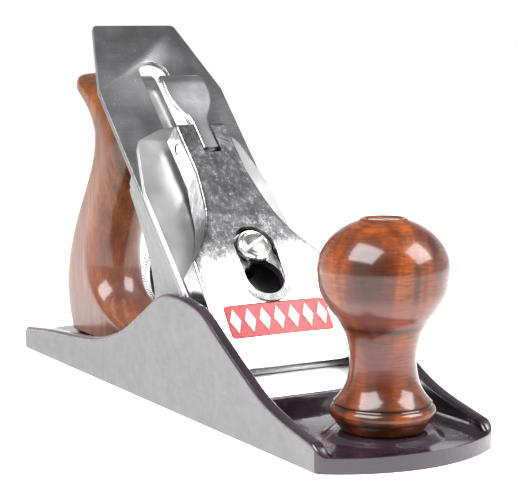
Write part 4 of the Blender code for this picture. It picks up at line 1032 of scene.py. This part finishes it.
def depth_wheel():
    """A turned cup whose rim carries a diamond knurl: ridges |sin((s + l) / 2)| |sin((s - l) / 2)|, where s goes
    round the rim and l goes along it."""
    low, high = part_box("depth_wheel")
    back, front = low.x, high.x
    rim = 0.0141
    wall = 0.0017
    across = np.linspace(front - 0.0005, back + 0.0007, 18)
    profile = [(rim - wall, front), (rim - 0.0005, front), (rim - 0.0002, front - 0.0002)]
    profile += [(rim, x) for x in across]
    profile += [(rim - 0.0003, back + 0.0003), (rim - 0.0009, back), (0.0061, back), (0.0061, back + wall),
                (rim - wall - 0.0008, back + wall), (rim - wall, back + wall + 0.0008)]

    def knurl(turn, x):
        inside = (x < front - 0.0004) & (x > back + 0.0006)
        slant = 90 * turn
        lean = x * 90 / rim
        ridges = np.abs(np.sin((slant + lean) / 2)) * np.abs(np.sin((slant - lean) / 2))
        return np.where(inside, 0.00017 - 0.0004 * (1 - ridges), 0.0)

    def rim_only(turn, x):
        return knurl(turn, x) * (np.asarray(profile)[:, :1] > rim - 0.0001)

    stud_height = 0.0378
    piece = ring_turned("knurled_wheel", profile, NICKEL, Matrix.Translation((0, 0, stud_height)) @ ALONG_X,
                        steps=540, ripple=rim_only, angle=30)
    stand_for(piece, "depth_wheel")


# ---------------------------------------------------------------- every piece

casting()
knob()
tote()
cap_iron()
lateral_lever()
lever_cap()
badge()
cam_lever()
cap_screw()
depth_wheel()
softened("cutter", "cutter_blade", STEEL, 0.00018)
softened("frog", "frog_casting", FROG, 0.0003)
for node in ("frog_screw_right", "frog_screw_left", "frog_washer_right", "frog_washer_left", "frog_setting_screw",
             "frog_setting_clip", "clip_screw", "yoke", "yoke_pin", "depth_stud", "depth_nut", "lateral_rivet",
             "lateral_roller", "cam_pin", "cap_spring", "cap_spring_rivet", "cap_iron_screw", "knob_stud", "tote_stud",
             "tote_nut", "knob_nut"):
    softened(node, f"{node}_rounded", SMALL_FINISH[SLOT_OF[node]], 0.00012)


# ---------------------------------------------------------------- studio

def pale_floor():
    """A white table that gives off a little light of its own, so that it reads as plain white."""
    finish = Finish("pale_floor", (0.86, 0.86, 0.86), 0.0, 0.8, Emission_Color=(1, 1, 1, 1), Emission_Strength=0.68)
    size = 6
    piece = new_piece("floor", [(-size, -size, 0), (size, -size, 0), (size, size, 0), (-size, size, 0)],
                      [(0, 1, 2, 3)], finish.material)


def softbox(name, spot, aim, width, height, power):
    """A rectangular lamp that faces its aim and that no camera sees."""
    data = bpy.data.lights.new(name, "AREA")
    data.shape = "RECTANGLE"
    data.size = width
    data.size_y = height
    data.energy = power
    lamp = bpy.data.objects.new(name, data)
    lamp.location = spot
    lamp.rotation_euler = (Vector(aim) - Vector(spot)).to_track_quat("-Z", "Y").to_euler()
    lamp.visible_camera = False
    bpy.context.scene.collection.objects.link(lamp)


def sky():
    """White near the horizon and grey above it, with a soft bright panel over the far side and a dark one in front."""
    world = bpy.data.worlds.new("studio")
    bpy.context.scene.world = world
    world.use_nodes = True
    tree = world.node_tree
    shade = tree.nodes["Background"]
    place = tree.nodes.new("ShaderNodeTexCoord").outputs["Generated"]
    split = tree.nodes.new("ShaderNodeSeparateXYZ")
    tree.links.new(place, split.inputs[0])

    def level(value, *stops):
        ramp = tree.nodes.new("ShaderNodeValToRGB")
        for element, (spot, tone) in zip(ramp.color_ramp.elements, stops):
            element.position = spot
            element.color = (tone, tone, tone, 1)
        tree.links.new(value, ramp.inputs["Fac"])
        return ramp.outputs["Color"]

    def facing(direction):
        dot = tree.nodes.new("ShaderNodeVectorMath")
        dot.operation = "DOT_PRODUCT"
        dot.inputs[1].default_value = Vector(direction).normalized()
        tree.links.new(place, dot.inputs[0])
        return dot.outputs["Value"]

    def both(kind, first, second):
        join = tree.nodes.new("ShaderNodeVectorMath")
        join.operation = kind
        tree.links.new(first, join.inputs[0])
        tree.links.new(second, join.inputs[1])
        return join.outputs["Vector"]

    round_about = level(split.outputs["Z"], (0.22, 1.0), (0.42, 0.30))
    panel = level(facing((0.25, 0.62, 0.74)), (0.90, 0.0), (0.985, 0.70))
    dark_room = level(facing((0.86, -0.48, 0.20)), (0.80, 1.0), (0.96, 0.25))
    tree.links.new(both("ADD", both("MULTIPLY", round_about, dark_room), panel), shade.inputs["Color"])
    shade.inputs["Strength"].default_value = 1.0


def camera():
    """Stands to the toe's right, a little above the knob, and looks back along the plane."""
    yaw, pitch, roll = 2.6259, -0.1338, -0.0032
    data = bpy.data.cameras.new("camera")
    data.sensor_width = 36
    data.lens = 116.9
    data.shift_x = -0.0044
    data.shift_y = 0.0022
    data.clip_start = 0.01
    obj = bpy.data.objects.new("camera", data)
    ahead = Vector((math.cos(pitch) * math.cos(yaw), math.cos(pitch) * math.sin(yaw), math.sin(pitch)))
    turn = ahead.to_track_quat("-Z", "Y") @ Matrix.Rotation(roll, 3, "Z").to_quaternion()
    obj.rotation_euler = turn.to_euler()
    obj.location = (0.51085, -0.27544, 0.12741)
    bpy.context.scene.collection.objects.link(obj)
    bpy.context.scene.camera = obj


pale_floor()
sky()
KNOB_MIDDLE = (KNOB_X, 0, 0.055)
softbox("window_left", (0.21, -0.64, 0.84), KNOB_MIDDLE, 0.85, 0.70, 22.0)
softbox("window_right", (0.61, 0.58, 0.69), KNOB_MIDDLE, 0.62, 0.60, 13.0)
camera()
bpy.context.scene.view_settings.view_transform = "Standard"
